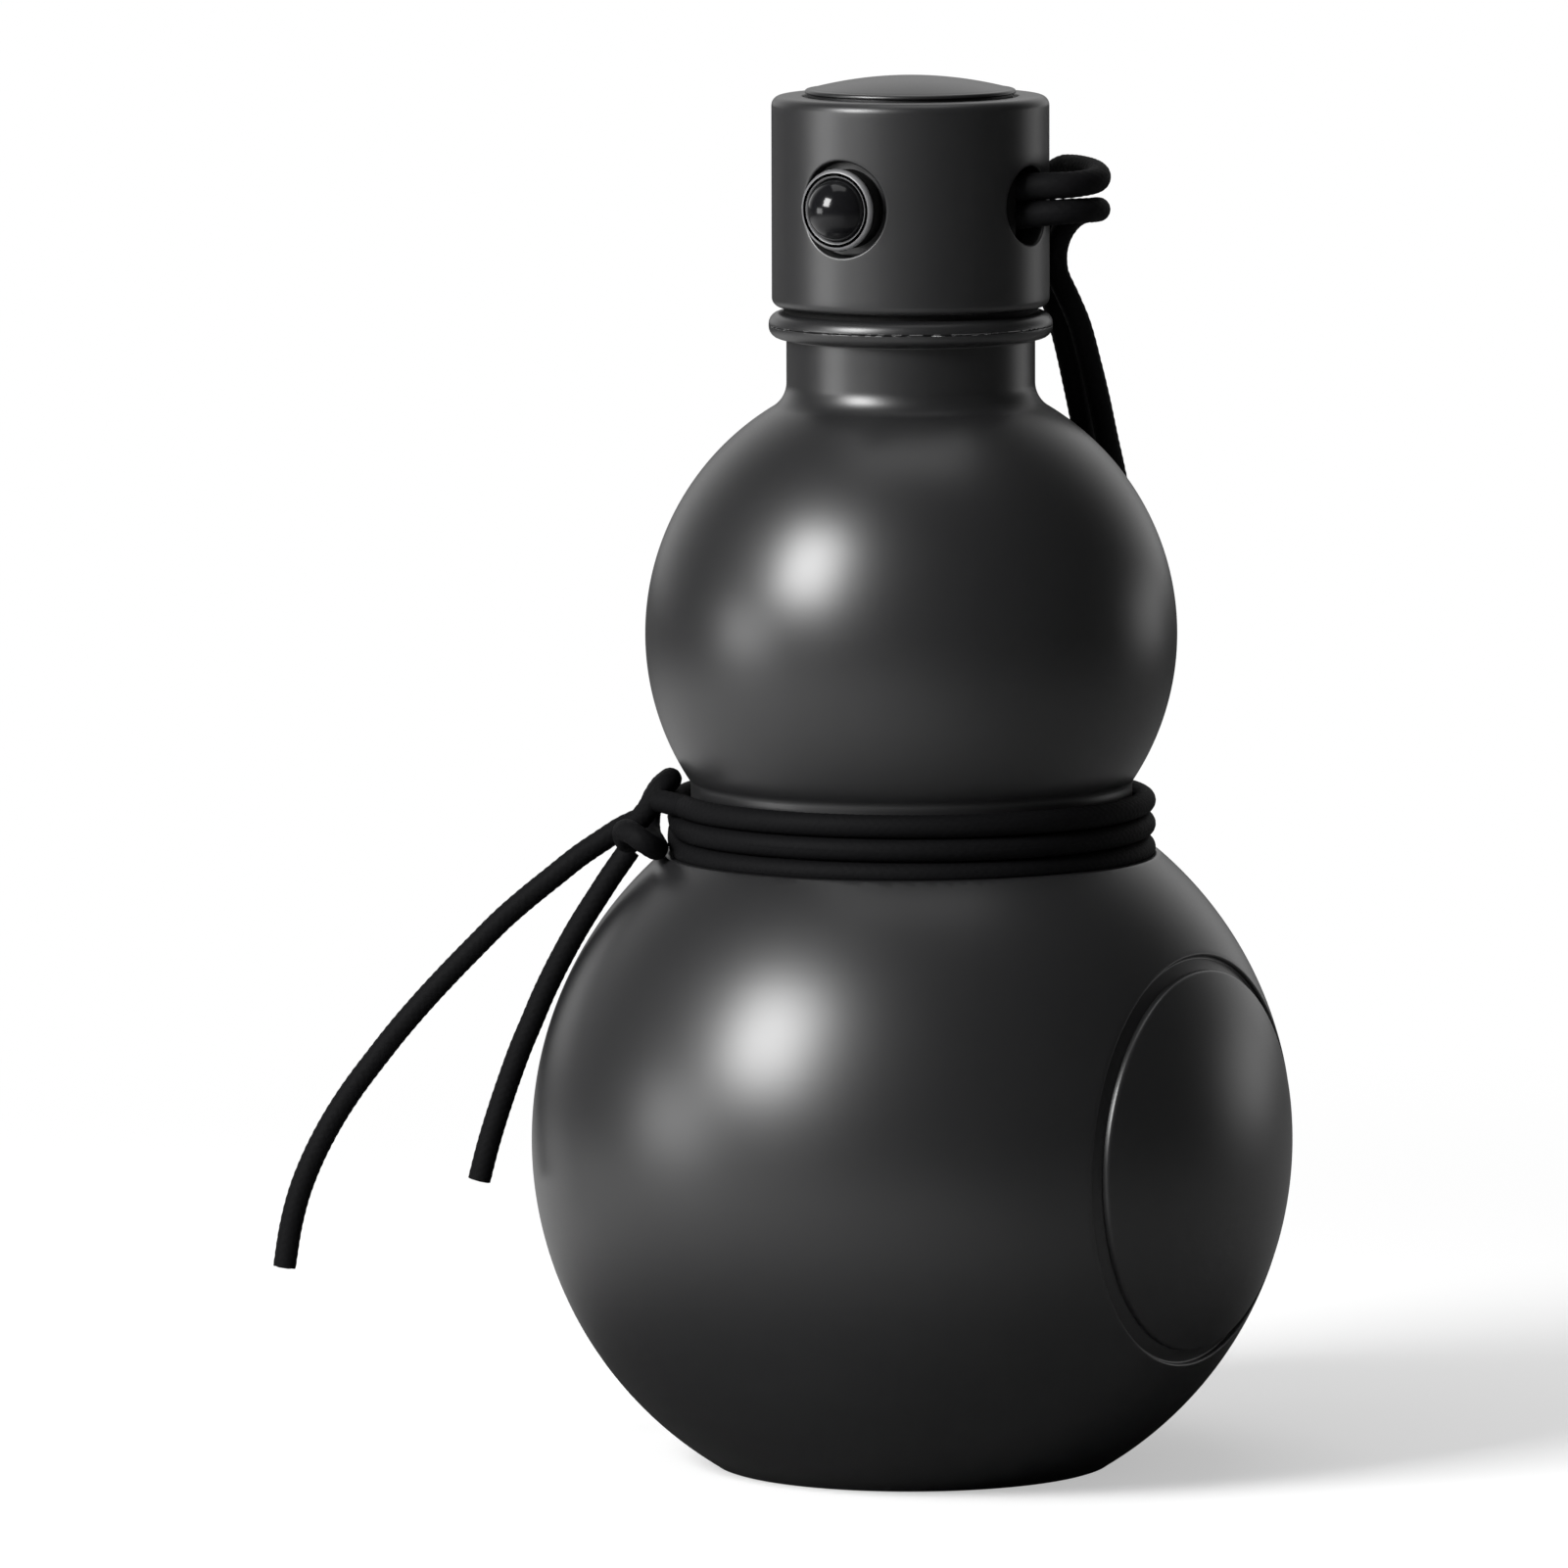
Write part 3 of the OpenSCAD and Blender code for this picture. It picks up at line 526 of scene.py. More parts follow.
def cord_finish():
    """Black braid: the yarns' fibres shade it along their lay."""
    existing = bpy.data.materials.get("black_braid")
    if existing:
        return existing
    sizes = bpy.context.scene.bottle_cord
    looks = bpy.context.scene.bottle_looks
    material, shader = new_material("black_braid", Specular_IOR_Level=0.06)
    nodes = material.node_tree.nodes
    links = material.node_tree.links
    group = nodes.new("ShaderNodeGroup")
    group.node_tree = tree_named("Braid Fibres", fibre_group)
    group.inputs["Yarns Each Way"].default_value = sizes.yarns_each_way
    group.inputs["Lay Length"].default_value = sizes.lay_length
    mix = nodes.new("ShaderNodeMix")
    mix.data_type = "RGBA"
    mix.inputs["A"].default_value = (*[c * 0.7 for c in looks.cord_colour], 1)
    mix.inputs["B"].default_value = (*[c * 1.3 for c in looks.cord_colour], 1)
    links.new(group.outputs["Shade"], mix.inputs["Factor"])
    links.new(mix.outputs["Result"], shader.inputs["Base Color"])
    matt = nodes.new("ShaderNodeMapRange")
    matt.inputs["To Min"].default_value = 0.62
    matt.inputs["To Max"].default_value = 0.82
    links.new(group.outputs["Shade"], matt.inputs["Value"])
    links.new(matt.outputs[0], shader.inputs["Roughness"])
    bump = nodes.new("ShaderNodeBump")
    bump.inputs["Strength"].default_value = 0.5
    bump.inputs["Distance"].default_value = 0.00005
    links.new(group.outputs["Shade"], bump.inputs["Height"])
    links.new(bump.outputs["Normal"], shader.inputs["Normal"])
    return material


# Settings


class BottleSizes(PropertyGroup):
    """Sizes of the bottle's body and cap, in millimetres."""

    lower_radius: FloatProperty(name="Lower Ball Radius", description="Outer radius of the lower ball, mm", default=58.4)
    lower_height: FloatProperty(name="Lower Ball Height", description="Height of its centre, mm", default=50.105)
    upper_radius: FloatProperty(name="Upper Ball Radius", description="Outer radius of the upper ball, mm", default=40.7)
    upper_height: FloatProperty(name="Upper Ball Height", description="Height of its centre, mm", default=128.105)
    waist_radius: FloatProperty(name="Waist Radius", description="Radius of the waist under the cord, mm", default=33.8)
    neck_radius: FloatProperty(name="Neck Radius", description="Outer radius of the neck, mm", default=19.0)
    neck_fillet: FloatProperty(name="Neck Fillet", description="Fillet where the neck meets the ball, mm", default=4.5)
    bead_radius: FloatProperty(name="Bead Radius", description="Radius of the bead at the mouth, mm", default=21.7)
    bead_height: FloatProperty(name="Bead Height", description="Height of the bead, mm", default=4.0)
    mouth_radius: FloatProperty(name="Mouth Radius", description="Radius of the mouth, mm", default=16.2)
    rim_height: FloatProperty(name="Mouth Height", description="Height of the mouth's rim, mm", default=177.5)
    cap_radius: FloatProperty(name="Cap Radius", description="Outer radius of the cap, mm", default=21.2)
    cap_foot: FloatProperty(name="Cap Foot", description="Height of the cap's lower edge, mm", default=178.3)
    cap_height: FloatProperty(name="Cap Height", description="Height of the cap up to its rim, mm", default=32.205)
    cap_top_fillet: FloatProperty(name="Cap Top Fillet", description="Fillet round the cap's rim, mm", default=1.5)
    cap_foot_fillet: FloatProperty(name="Cap Foot Fillet", description="Fillet round its lower edge, mm", default=1.4)
    disc_radius: FloatProperty(name="Disc Radius", description="Radius of the raised disc, mm", default=16.1)
    disc_rise: FloatProperty(name="Disc Rise", description="Height of the disc's edge above the rim, mm", default=1.0)
    disc_dome: FloatProperty(name="Disc Dome", description="Rise of its dome above that edge, mm", default=2.0)
    feature_height: FloatProperty(name="Button Height", description="Height of the button and the cord hole, mm",
                                  default=194.405)
    hole_radius: FloatProperty(name="Cord Hole Radius", description="Radius of the cord hole, mm", default=6.05)
    recess_radius: FloatProperty(name="Button Recess Radius", description="Radius of the recess, mm", default=7.3)
    recess_depth: FloatProperty(name="Button Recess Depth", description="Depth of the recess, mm", default=2.6)
    panel_radius: FloatProperty(name="Panel Radius", description="Radius of the side panel's seat, mm", default=31.0)
    wall: FloatProperty(name="Outer Wall", description="Wall of the outer shell, mm", default=1.2)


class CordSizes(PropertyGroup):
    """Sizes of the braided cord."""

    diameter: FloatProperty(name="Diameter", description="Diameter of the cord", default=0.0035, unit="LENGTH")
    swell: FloatProperty(name="Swell", description="Share that the slack cord swells by at the cap", default=0.24)
    yarns_each_way: IntProperty(name="Yarns Each Way", description="Yarns that run in each direction", default=8, min=3)
    lay_length: FloatProperty(name="Lay Length", description="Length in which a yarn goes once round", default=0.011,
                              unit="LENGTH")
    relief: FloatProperty(name="Relief", description="Height of a yarn's crown", default=0.00011, unit="LENGTH")
    ring_step: FloatProperty(name="Ring Step", description="Distance between the rings of the mesh", default=0.00032,
                             unit="LENGTH")
    sides: IntProperty(name="Sides", description="Sides of the mesh round the cord", default=40, min=12)


class BottleLooks(PropertyGroup):
    """Colours and finishes."""

    body_colour: FloatVectorProperty(name="Body", description="Colour of the coat", subtype="COLOR",
                                     default=(0.008, 0.008, 0.0084))
    body_roughness: FloatProperty(name="Body Roughness", description="Roughness of the body's coat", default=0.36)
    cap_roughness: FloatProperty(name="Cap Roughness", description="Roughness of the cap's coat", default=0.38)
    ring_colour: FloatVectorProperty(name="Ring", description="Colour of the ring round the button", subtype="COLOR",
                                     default=(0.10, 0.10, 0.103))
    button_colour: FloatVectorProperty(name="Button", description="Colour of the button", subtype="COLOR",
                                       default=(0.004, 0.004, 0.0045))
    cord_colour: FloatVectorProperty(name="Cord", description="Colour of the cord", subtype="COLOR",
                                     default=(0.0022, 0.0022, 0.0025))


# Camera


class BOTTLE_OT_camera(Operator):
    """Places the camera where the photograph was taken from"""

    bl_idname = "bottle.camera"
    bl_label = "Place Camera"

    def execute(self, context):
        azimuth = math.radians(30)
        distance = 2.3
        height = 0.365
        pitch = math.radians(6.38)
        roll = math.radians(0.1)
        away = Vector((math.sin(azimuth), -math.cos(azimuth), 0))
        back = (away * math.cos(pitch) + Vector((0, 0, math.sin(pitch)))).normalized()
        right = Vector((math.cos(azimuth), math.sin(azimuth), 0))
        up = back.cross(right)
        rolled_up = up * math.cos(roll) + right * math.sin(roll)
        rolled_right = right * math.cos(roll) - up * math.sin(roll)
        turn = Matrix((rolled_right, rolled_up, back)).transposed().to_4x4()
        camera = bpy.data.cameras.new("photo_camera")
        camera.sensor_width = 36
        camera.lens = 347.0
        camera.shift_x = -0.0813
        camera.shift_y = -0.0122
        camera.clip_start = 0.05
        camera.clip_end = 100
        holder = link(bpy.data.objects.new("photo_camera", camera))
        holder.matrix_world = Matrix.Translation(away * distance + Vector((0, 0, height))) @ turn
        context.scene.camera = holder
        return {"FINISHED"}


# Cords: their routes repeat the points of the part's source, in millimetres

KNOT_TURN = 30.0
KNOT_ANGLE = 210.0
RIGHT_STRAND_ANGLE = 88.0
LEFT_STRAND_ANGLE = 97.0
WRAP_PITCH = 3.6
STEP_ANGLE = 30.0
WRAP_TOP = 102.43
WRAP_RADIUS = 35.65

KNOT = [
    (-41.7, -0.4, 99.5), (-40.5, -1.1, 101), (-39.4, -1.4, 102.8), (-38.2, -1, 104.5), (-37, 0.8, 105.5),
    (-37.4, 4.2, 105), (-38.7, 7.2, 103.5), (-40, 8.6, 101), (-40.4, 8.2, 98.4), (-40.2, 5.4, 96.5),
    (-39.6, 1.2, 96), (-39.2, -3, 95.9), (-38.9, -6.6, 95.9), (-39.3, -9.6, 96.2), (-41, -10.6, 97.4),
    (-42.8, -8.8, 98.5), (-43.9, -5.8, 98.4), (-43.9, -3.4, 97), (-43, -1.9, 95.6),
]
LONG_TAIL = [
    (-41.9, -0.2, 99.4), (-44.4, 0, 98.2), (-47.2, 0, 96.4), (-50.9, 0, 93.9), (-54.8, 0, 90.8),
    (-58.9, 0, 87.5), (-62.8, 0, 84.1), (-66.6, 0, 80.3), (-70.6, 0, 76.2), (-74.6, 0, 71.9), (-78.6, 0, 67.3),
    (-82.4, 0, 62.5), (-86, 0, 57.7), (-89.2, 0, 52.7), (-92, 0, 47.3), (-94.1, 0, 42), (-95.5, 0, 36.6),
    (-96.5, 0, 30.4),
]
SHORT_TAIL = [
    (-43.2, -1.8, 95.1), (-44.6, -1.9, 93.1), (-46.2, -1.9, 90.8), (-48, -1.8, 88), (-49.8, -1.6, 85.2),
    (-51.6, -1.3, 82.2), (-53.3, -1, 79.1), (-55, -0.7, 75.8), (-56.7, -0.5, 72.2), (-58.3, -0.3, 68.4),
    (-60, -0.2, 64.4), (-61.7, -0.1, 59.8), (-63.4, 0, 54.8), (-65, 0, 49.6), (-66.5, 0, 43.8),
]
# Where the cord through the cap ends on the top of each falling strand
UPPER_JOIN = (10.6, 22.28, 187.52)
LOWER_JOIN = (14.3, 19.8, 183.82)
UPPER_STRAND = [
    (10.6, 22.3, 187.9), (10.3, 22.8, 191.4), (10.5, 23.2, 194.8), (11.9, 22.9, 197.4), (14.4, 21.5, 198.7),
    (17.4, 19.6, 199), (20.6, 17.2, 199), (24, 14.3, 198.8), (26.6, 11.1, 198.4), (28, 7.8, 198),
    (28, 4.6, 197.8), (26.6, 2, 197.6), (24.2, 0.5, 197.5), (20.8, 0, 197.3), (14, 0, 196.8),
]
LOWER_STRAND = [
    (14, 0, 192), (20.8, 0, 193), (24.2, 0.5, 193.4), (26.6, 2, 193.6), (28, 4.6, 193.6), (28, 7.8, 193.5),
    (26.6, 11.1, 193.3), (24, 14.4, 193), (20.8, 17, 192.4), (17.6, 18.8, 191), (15.3, 19.6, 188.6),
    (14.3, 19.8, 185.8), (14.3, 19.8, 184.2),
]
LEFT_STRAND = [
    (10.6, 22.1, 187.5), (10.5, 22.4, 184.2), (11.3, 23.1, 179.6), (13, 24.2, 172.8), (13.6, 26.4, 165.6),
    (13.2, 30, 158.2), (11.7, 35, 150), (9.2, 39.8, 141.4), (5.9, 42.4, 131.4), (2.8, 42.5, 122),
    (0.2, 40.9, 114.6), (-0.7, 37.7, 107.4),
]
RIGHT_STRAND = [
    (14.3, 19.8, 183.8), (14.5, 19.9, 182.4), (16.2, 20.6, 178.4), (17.3, 21.8, 174.6), (18, 23.8, 168.6),
    (18.2, 26.3, 162.6), (17.9, 29.2, 156.8), (17.6, 32.4, 150.6), (16.7, 36.6, 143.4), (14.2, 40.1, 135),
    (11.1, 41.6, 126.4), (7.6, 41.1, 117.6), (4.8, 39.3, 111), (2.6, 37.4, 106.8),
]


def on_waist(angle, height, radius=WRAP_RADIUS):
    a = math.radians(angle)
    return (radius * math.cos(a), radius * math.sin(a), height)


def turned_by_knot(points):
    """Points in the plane of the knot, turned to where the knot is."""
    a = math.radians(KNOT_TURN)
    return [(x * math.cos(a) - y * math.sin(a), x * math.sin(a) + y * math.cos(a), z) for x, y, z in points]


def level_at(angle):
    passed = max(0.0, angle - (KNOT_ANGLE - STEP_ANGLE / 2))
    turns = math.floor(passed / 360)
    part = min(1.0, (passed - turns * 360) / STEP_ANGLE)
    part = part * part * (3 - 2 * part)
    return WRAP_TOP if passed == 0 else WRAP_TOP - WRAP_PITCH * (turns + part)


def double_wrap_path():
    last = KNOT_ANGLE + 720 - STEP_ANGLE / 2
    count = 240
    angles = [LEFT_STRAND_ANGLE + (last - LEFT_STRAND_ANGLE) * i / count for i in range(count + 1)]
    return [mm(*on_waist(a, level_at(a))) for a in angles]


def single_wrap_path():
    last = KNOT_ANGLE - 360 + STEP_ANGLE / 2
    count = 100
    angles = [RIGHT_STRAND_ANGLE + (last - RIGHT_STRAND_ANGLE) * i / count for i in range(count + 1)]
    path = [mm(*on_waist(a, WRAP_TOP)) for a in angles]
    reach = 3.2
    for k in range(1, 7):
        t = k / 6
        path.append(mm(*on_waist(last - 9 * t, WRAP_TOP + 0.4 * t, WRAP_RADIUS + reach * t ** 1.3)))
    return path


class BOTTLE_OT_cords(Operator):
    """Lays the braided tether: through the cap, down behind the bottle, round the waist, knotted, with two tails"""

    bl_idname = "bottle.cords"
    bl_label = "Lay Cords"

    def execute(self, context):
        sizes = context.scene.bottle_cord
        diameter = sizes.diameter
        finish = cord_finish()

        def lay_cord(name, path, body, node, swell=0.0):
            obj = braided(name, path, diameter, finish, swell)
            return finish_piece(obj, finish, body, [node])

        step = 1.0
        knot = lay_cord("cord_knot", smooth_path(turned_by_knot(KNOT), 0.7), "bottle", "waist_knot")
        long_path = smooth_path(turned_by_knot(LONG_TAIL), step)
        long_tail = lay_cord("cord_tail_long", long_path, "bottle", "tail_long")
        short_path = smooth_path(turned_by_knot(SHORT_TAIL), step)
        short_tail = lay_cord("cord_tail_short", short_path, "bottle", "tail_short")
        single = single_wrap_path()
        double = double_wrap_path()
        single_wrap = lay_cord("cord_wrap_single", single, "bottle", "waist_wrap_single")
        double_wrap = lay_cord("cord_wrap_double", double, "bottle", "waist_wrap_double")
        left = smooth_path(LEFT_STRAND + [on_waist(LEFT_STRAND_ANGLE, WRAP_TOP)], step)
        left_cord = lay_cord("cord_strand_left", left, None, "tether_left")
        right = smooth_path(RIGHT_STRAND + [on_waist(RIGHT_STRAND_ANGLE, WRAP_TOP)], step)
        right_cord = lay_cord("cord_strand_right", right, None, "tether_right")
        for cord, path in ((left_cord, left), (right_cord, right)):
            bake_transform(cord)
        bend = [(-3 + 2.4 * math.cos(a), 0, 194.405 + 2.4 * math.sin(a))
                for a in [math.radians(d) for d in range(90, 271, 30)]]
        through = smooth_path([UPPER_JOIN] + UPPER_STRAND[1:] + bend + LOWER_STRAND[:-1] + [LOWER_JOIN], step)
        cap_cord = lay_cord("cord_through_cap", through, "cap", "cap_cord", sizes.swell)
        return {"FINISHED"}


# Body


class BOTTLE_OT_body(Operator):
    """Builds the outer shells, the side panel and the finishes of the inner flask and the base"""

    bl_idname = "bottle.body"
    bl_label = "Build Body"

    def execute(self, context):
        s = context.scene.bottle_sizes
        coat = body_finish()
        self.upper_shell(s, coat)
        self.lower_shell(s, coat)
        self.panel(s, coat)
        steel = steel_finish()
        for name in ("inner_flask", "base_plate", "port_cover"):
            frame["nodes"][name].data.materials.clear()
            frame["nodes"][name].data.materials.append(steel if name == "inner_flask" else coat)
        return {"FINISHED"}

    def upper_shell(self, s, coat):
        """Waist band, upper ball, neck and bead, with their wall."""
        ball_start = math.degrees(math.acos(s.waist_radius / s.upper_radius))
        fillet_r = s.neck_radius + s.neck_fillet
        reach = s.upper_radius + s.neck_fillet
        ball_end = math.degrees(math.acos(fillet_r / reach))
        fillet_z = s.upper_height + math.sqrt(reach ** 2 - fillet_r ** 2)
        weld = WRAP_TOP - WRAP_PITCH + 0.05
        bead_z = s.rim_height - s.bead_height
        outside = [(s.waist_radius, weld), (s.waist_radius, weld + 3), (s.waist_radius, weld + 6)]
        outside += arc(0, s.upper_height, s.upper_radius, -ball_start, ball_end, 120)
        outside += arc(fillet_r, fillet_z, s.neck_fillet, 180 + ball_end, 180, 16)[1:]
        bead_fillet = s.bead_height * 0.45
        bead = rounded([
            (s.neck_radius, bead_z - 3, 0), (s.neck_radius, bead_z, 0.3), (s.bead_radius, bead_z, bead_fillet),
            (s.bead_radius, s.rim_height, bead_fillet), (s.mouth_radius + 1.2, s.rim_height, 0.3),
            (s.mouth_radius + 1.2, bead_z, 0),
        ])
        inner_neck = s.neck_radius - s.wall
        inner_reach = s.upper_radius - s.wall + s.neck_fillet + s.wall
        inner_end = math.degrees(math.acos((inner_neck + s.neck_fillet + s.wall) / inner_reach))
        inside = [(inner_neck, bead_z - 0.5), (inner_neck, fillet_z)]
        inside += arc(0, s.upper_height, s.upper_radius - s.wall, inner_end, -ball_start, 60)
        inside += [(s.waist_radius - s.wall, weld), (s.waist_radius, weld)]
        shell = turned("shell_upper", outside + bead + inside, coat, 256)
        finish_piece(shell, coat, "bottle", ["outer_shell_upper"])

    def lower_shell(self, s, coat):
        """Lower ball turned about the panel's axis, cut at the waist and the base, and closed inside."""
        seat = s.panel_radius
        r = s.lower_radius
        edge = 0.5
        depth = 0.9
        edge_x = math.sqrt(r ** 2 - (seat + edge) ** 2)
        floor = arc(0, 0, r - depth, 90, math.degrees(math.acos((seat - 0.4) / (r - depth))), 20)
        start = math.degrees(math.atan2(edge_x, seat + edge))
        lip = [(seat, edge_x - 0.62), (seat + 0.01, edge_x - 0.35), (seat + 0.12, edge_x - 0.08),
               (seat + 0.32, edge_x + 0.05)]
        sphere = arc(0, 0, r, start, -90, 200)
        work_obj = turned("shell_lower", floor + lip + sphere, coat, 256, "X", (0, 0, s.lower_height))
        work = bmesh.new()
        work.from_mesh(work_obj.data)
        top = (WRAP_TOP - 2 * WRAP_PITCH - 0.93) * MM
        foot = 0.45 * MM

        def cut(height, keep_below):
            geom = work.verts[:] + work.edges[:] + work.faces[:]
            bmesh.ops.bisect_plane(work, geom=geom, plane_co=(0, 0, height), plane_no=(0, 0, 1),
                                   clear_outer=keep_below, clear_inner=not keep_below)
            return [e for e in work.edges if len(e.link_faces) == 1
                    and abs(e.verts[0].co.z - height) < 1e-6 and abs(e.verts[1].co.z - height) < 1e-6]

        def carry(edges, section):
            """Extrudes a cut edge along a half section, keeping each point's direction from the axis."""
            for radius, height in section:
                made = bmesh.ops.extrude_edge_only(work, edges=edges)["geom"]
                edges = [g for g in made if isinstance(g, bmesh.types.BMEdge)]
                for vert in [g for g in made if isinstance(g, bmesh.types.BMVert)]:
                    flat = Vector((vert.co.x, vert.co.y))
                    flat = flat.normalized() * radius * MM
                    vert.co = (flat.x, flat.y, height * MM)

        waist_edges = cut(top, True)
        third = WRAP_TOP - 2 * WRAP_PITCH
        lip_r = math.sqrt(r ** 2 - (top / MM - s.lower_height) ** 2)
        groove = [(lip_r - 0.15, top / MM + 0.06), (lip_r - 0.4, top / MM + 0.05)]
        groove += arc(WRAP_RADIUS, third, 1.85, -25, -180, 10)
        weld = WRAP_TOP - WRAP_PITCH
        groove += [(s.waist_radius, weld - 0.05), (s.waist_radius - s.wall, weld - 0.05)]
        carry(waist_edges, groove)
        foot_edges = cut(foot, False)
        foot_r = math.sqrt(r ** 2 - (s.lower_height - 0.45) ** 2)
        carry(foot_edges, [(foot_r - 0.35, 0.2), (foot_r - 0.8, 0.05), (foot_r - 1.3, 0), (foot_r - 1.7, 0),
                           (25.6, 0), (25.3, 0), (25.1, 0.08), (25.0, 0.3), (25.0, 0.8), (25.0, 1.2)])
        bmesh.ops.recalc_face_normals(work, faces=work.faces)
        work.to_mesh(work_obj.data)
        work.free()
        work_obj.data.shade_smooth()
        wall = work_obj.modifiers.new("Wall", "SOLIDIFY")
        wall.thickness = s.wall * MM
        wall.offset = -1
        apply_modifiers(work_obj)
        work_obj.data.shade_smooth()
        finish_piece(work_obj, coat, "bottle", ["outer_shell_lower"])

    def panel(self, s, coat):
        r = s.lower_radius
        rim = s.panel_radius - 2.0
        fillet = 0.7
        shrink = math.degrees(math.acos((rim - fillet) / (r - fillet)))
        centre_r = (r - fillet) * math.cos(math.radians(shrink))
        centre_x = (r - fillet) * math.sin(math.radians(shrink))
        back = math.sqrt((r - 0.85) ** 2 - rim ** 2)
        section = arc(0, 0, r, 90, shrink, 50)
        section += arc(centre_r, centre_x, fillet, shrink, 4, 8)[1:]
        section += [(rim, back + 0.1)]
        section += arc(0, 0, r - 0.85, math.degrees(math.atan2(back, rim)), 90, 30)
        panel = turned("side_panel_disc", section, coat, 256, "X", (0, 0, s.lower_height))
        finish_piece(panel, coat, "bottle", ["side_panel"])


# Cap


def cap_side(s):
    """The cap's wall as one grid with the cord hole and the button's recess worked into it."""
    half = 9.0
    cells = 24
    cell = half * 2 / cells
    radius = s.cap_radius
    quarter = math.pi / 2 * radius
    foot = s.cap_foot
    low = foot + s.cap_foot_fillet
    high = foot + s.cap_height - s.cap_top_fillet
    middle = s.feature_height
    points = []
    faces = []

    def place(across, height, depth):
        a = across / radius
        return mm((radius - depth) * math.cos(a), (radius - depth) * math.sin(a), height)

    def patch(columns, rows):
        base = len(points)
        for a in columns:
            for z in rows:
                points.append(place(a, z, 0))
        n = len(rows)
        for i in range(len(columns) - 1):
            for k in range(n - 1):
                q = base + i * n + k
                faces.append((q, q + n, q + n + 1, q + 1))

    def spread(start, end, count):
        return [start + (end - start) * i / count for i in range(count + 1)]

    def hole(centre, sign_depths, drop):
        """Rings from the square patch's edge to the rim of the hole, and down its wall."""
        square = []
        for k in range(cells):
            square.append((-half + cell * k, -half))
        for k in range(cells):
            square.append((half, -half + cell * k))
        for k in range(cells):
            square.append((half - cell * k, half))
        for k in range(cells):
            square.append((-half, half - cell * k))
        count = len(square)
        first_r = sign_depths[0][0]
        rings = []
        steps = 6
        for j in range(steps):
            t = j / steps
            ring = []
            for a, z in square:
                d = math.hypot(a, z)
                r = d + (first_r - d) * t
                ring.append((a / d * r, z / d * r, 0.0))
            rings.append(ring)
        for r, depth in sign_depths:
            rings.append([(a / math.hypot(a, z) * r, z / math.hypot(a, z) * r, depth) for a, z in square])
        base = len(points)
        for ring in rings:
            for a, z, depth in ring:
                # Past the rim the wall runs straight in, along the hole's own axis
                if depth <= drop:
                    points.append(place(centre + a, middle + z, depth))
                else:
                    direction = centre / radius
                    flat = math.sqrt(radius ** 2 - a ** 2)
                    x = min(flat, radius) - depth
                    if depth >= 100:
                        x = radius - (depth - 100)
                    points.append(mm(
                        x * math.cos(direction) - a * math.sin(direction),
                        x * math.sin(direction) + a * math.cos(direction), middle + z,
                    ))
        for j in range(len(rings) - 1):
            for k in range(count):
                p = base + j * count + k
                q = base + j * count + (k + 1) % count
                faces.append((p, q, q + count, p + count))
        return base + (len(rings) - 1) * count, count

    left = -quarter
    around_front = spread(left + half, -half, 20)
    around_back = spread(half, left - half + math.tau * radius, 102)
    rows = spread(low, middle - half, 7) + spread(middle - half, middle + half, cells)[1:]
    rows += spread(middle + half, high, 7)[1:]
    patch(around_front, rows)
    patch(around_back, rows)
    for centre in (0.0, left):
        columns = spread(centre - half, centre + half, cells)
        patch(columns, spread(low, middle - half, 7))
        patch(columns, spread(middle + half, high, 7))
    hole_r = s.hole_radius
    edge = [(hole_r + 0.3, 0.0), (hole_r + 0.2, 0.01), (hole_r + 0.1, 0.06), (hole_r + 0.03, 0.16),
            (hole_r, 0.3), (hole_r, 0.9)]
    hole(0.0, edge + [(hole_r, 1.2), (hole_r, 2.2), (hole_r, 3.0)], 0.9)
    recess = s.recess_radius
    edge = [(recess + 0.4, 0.0), (recess + 0.28, 0.01), (recess + 0.14, 0.07), (recess + 0.04, 0.2),
            (recess, 0.4), (recess, 0.7)]
    floor = 100 + s.recess_depth
    hole(left, edge + [(recess, floor - 0.3), (recess - 0.08, floor - 0.08), (recess - 0.3, floor),
                       (recess - 0.6, floor), (6.0, floor)], 0.7)
    return points, faces, rows


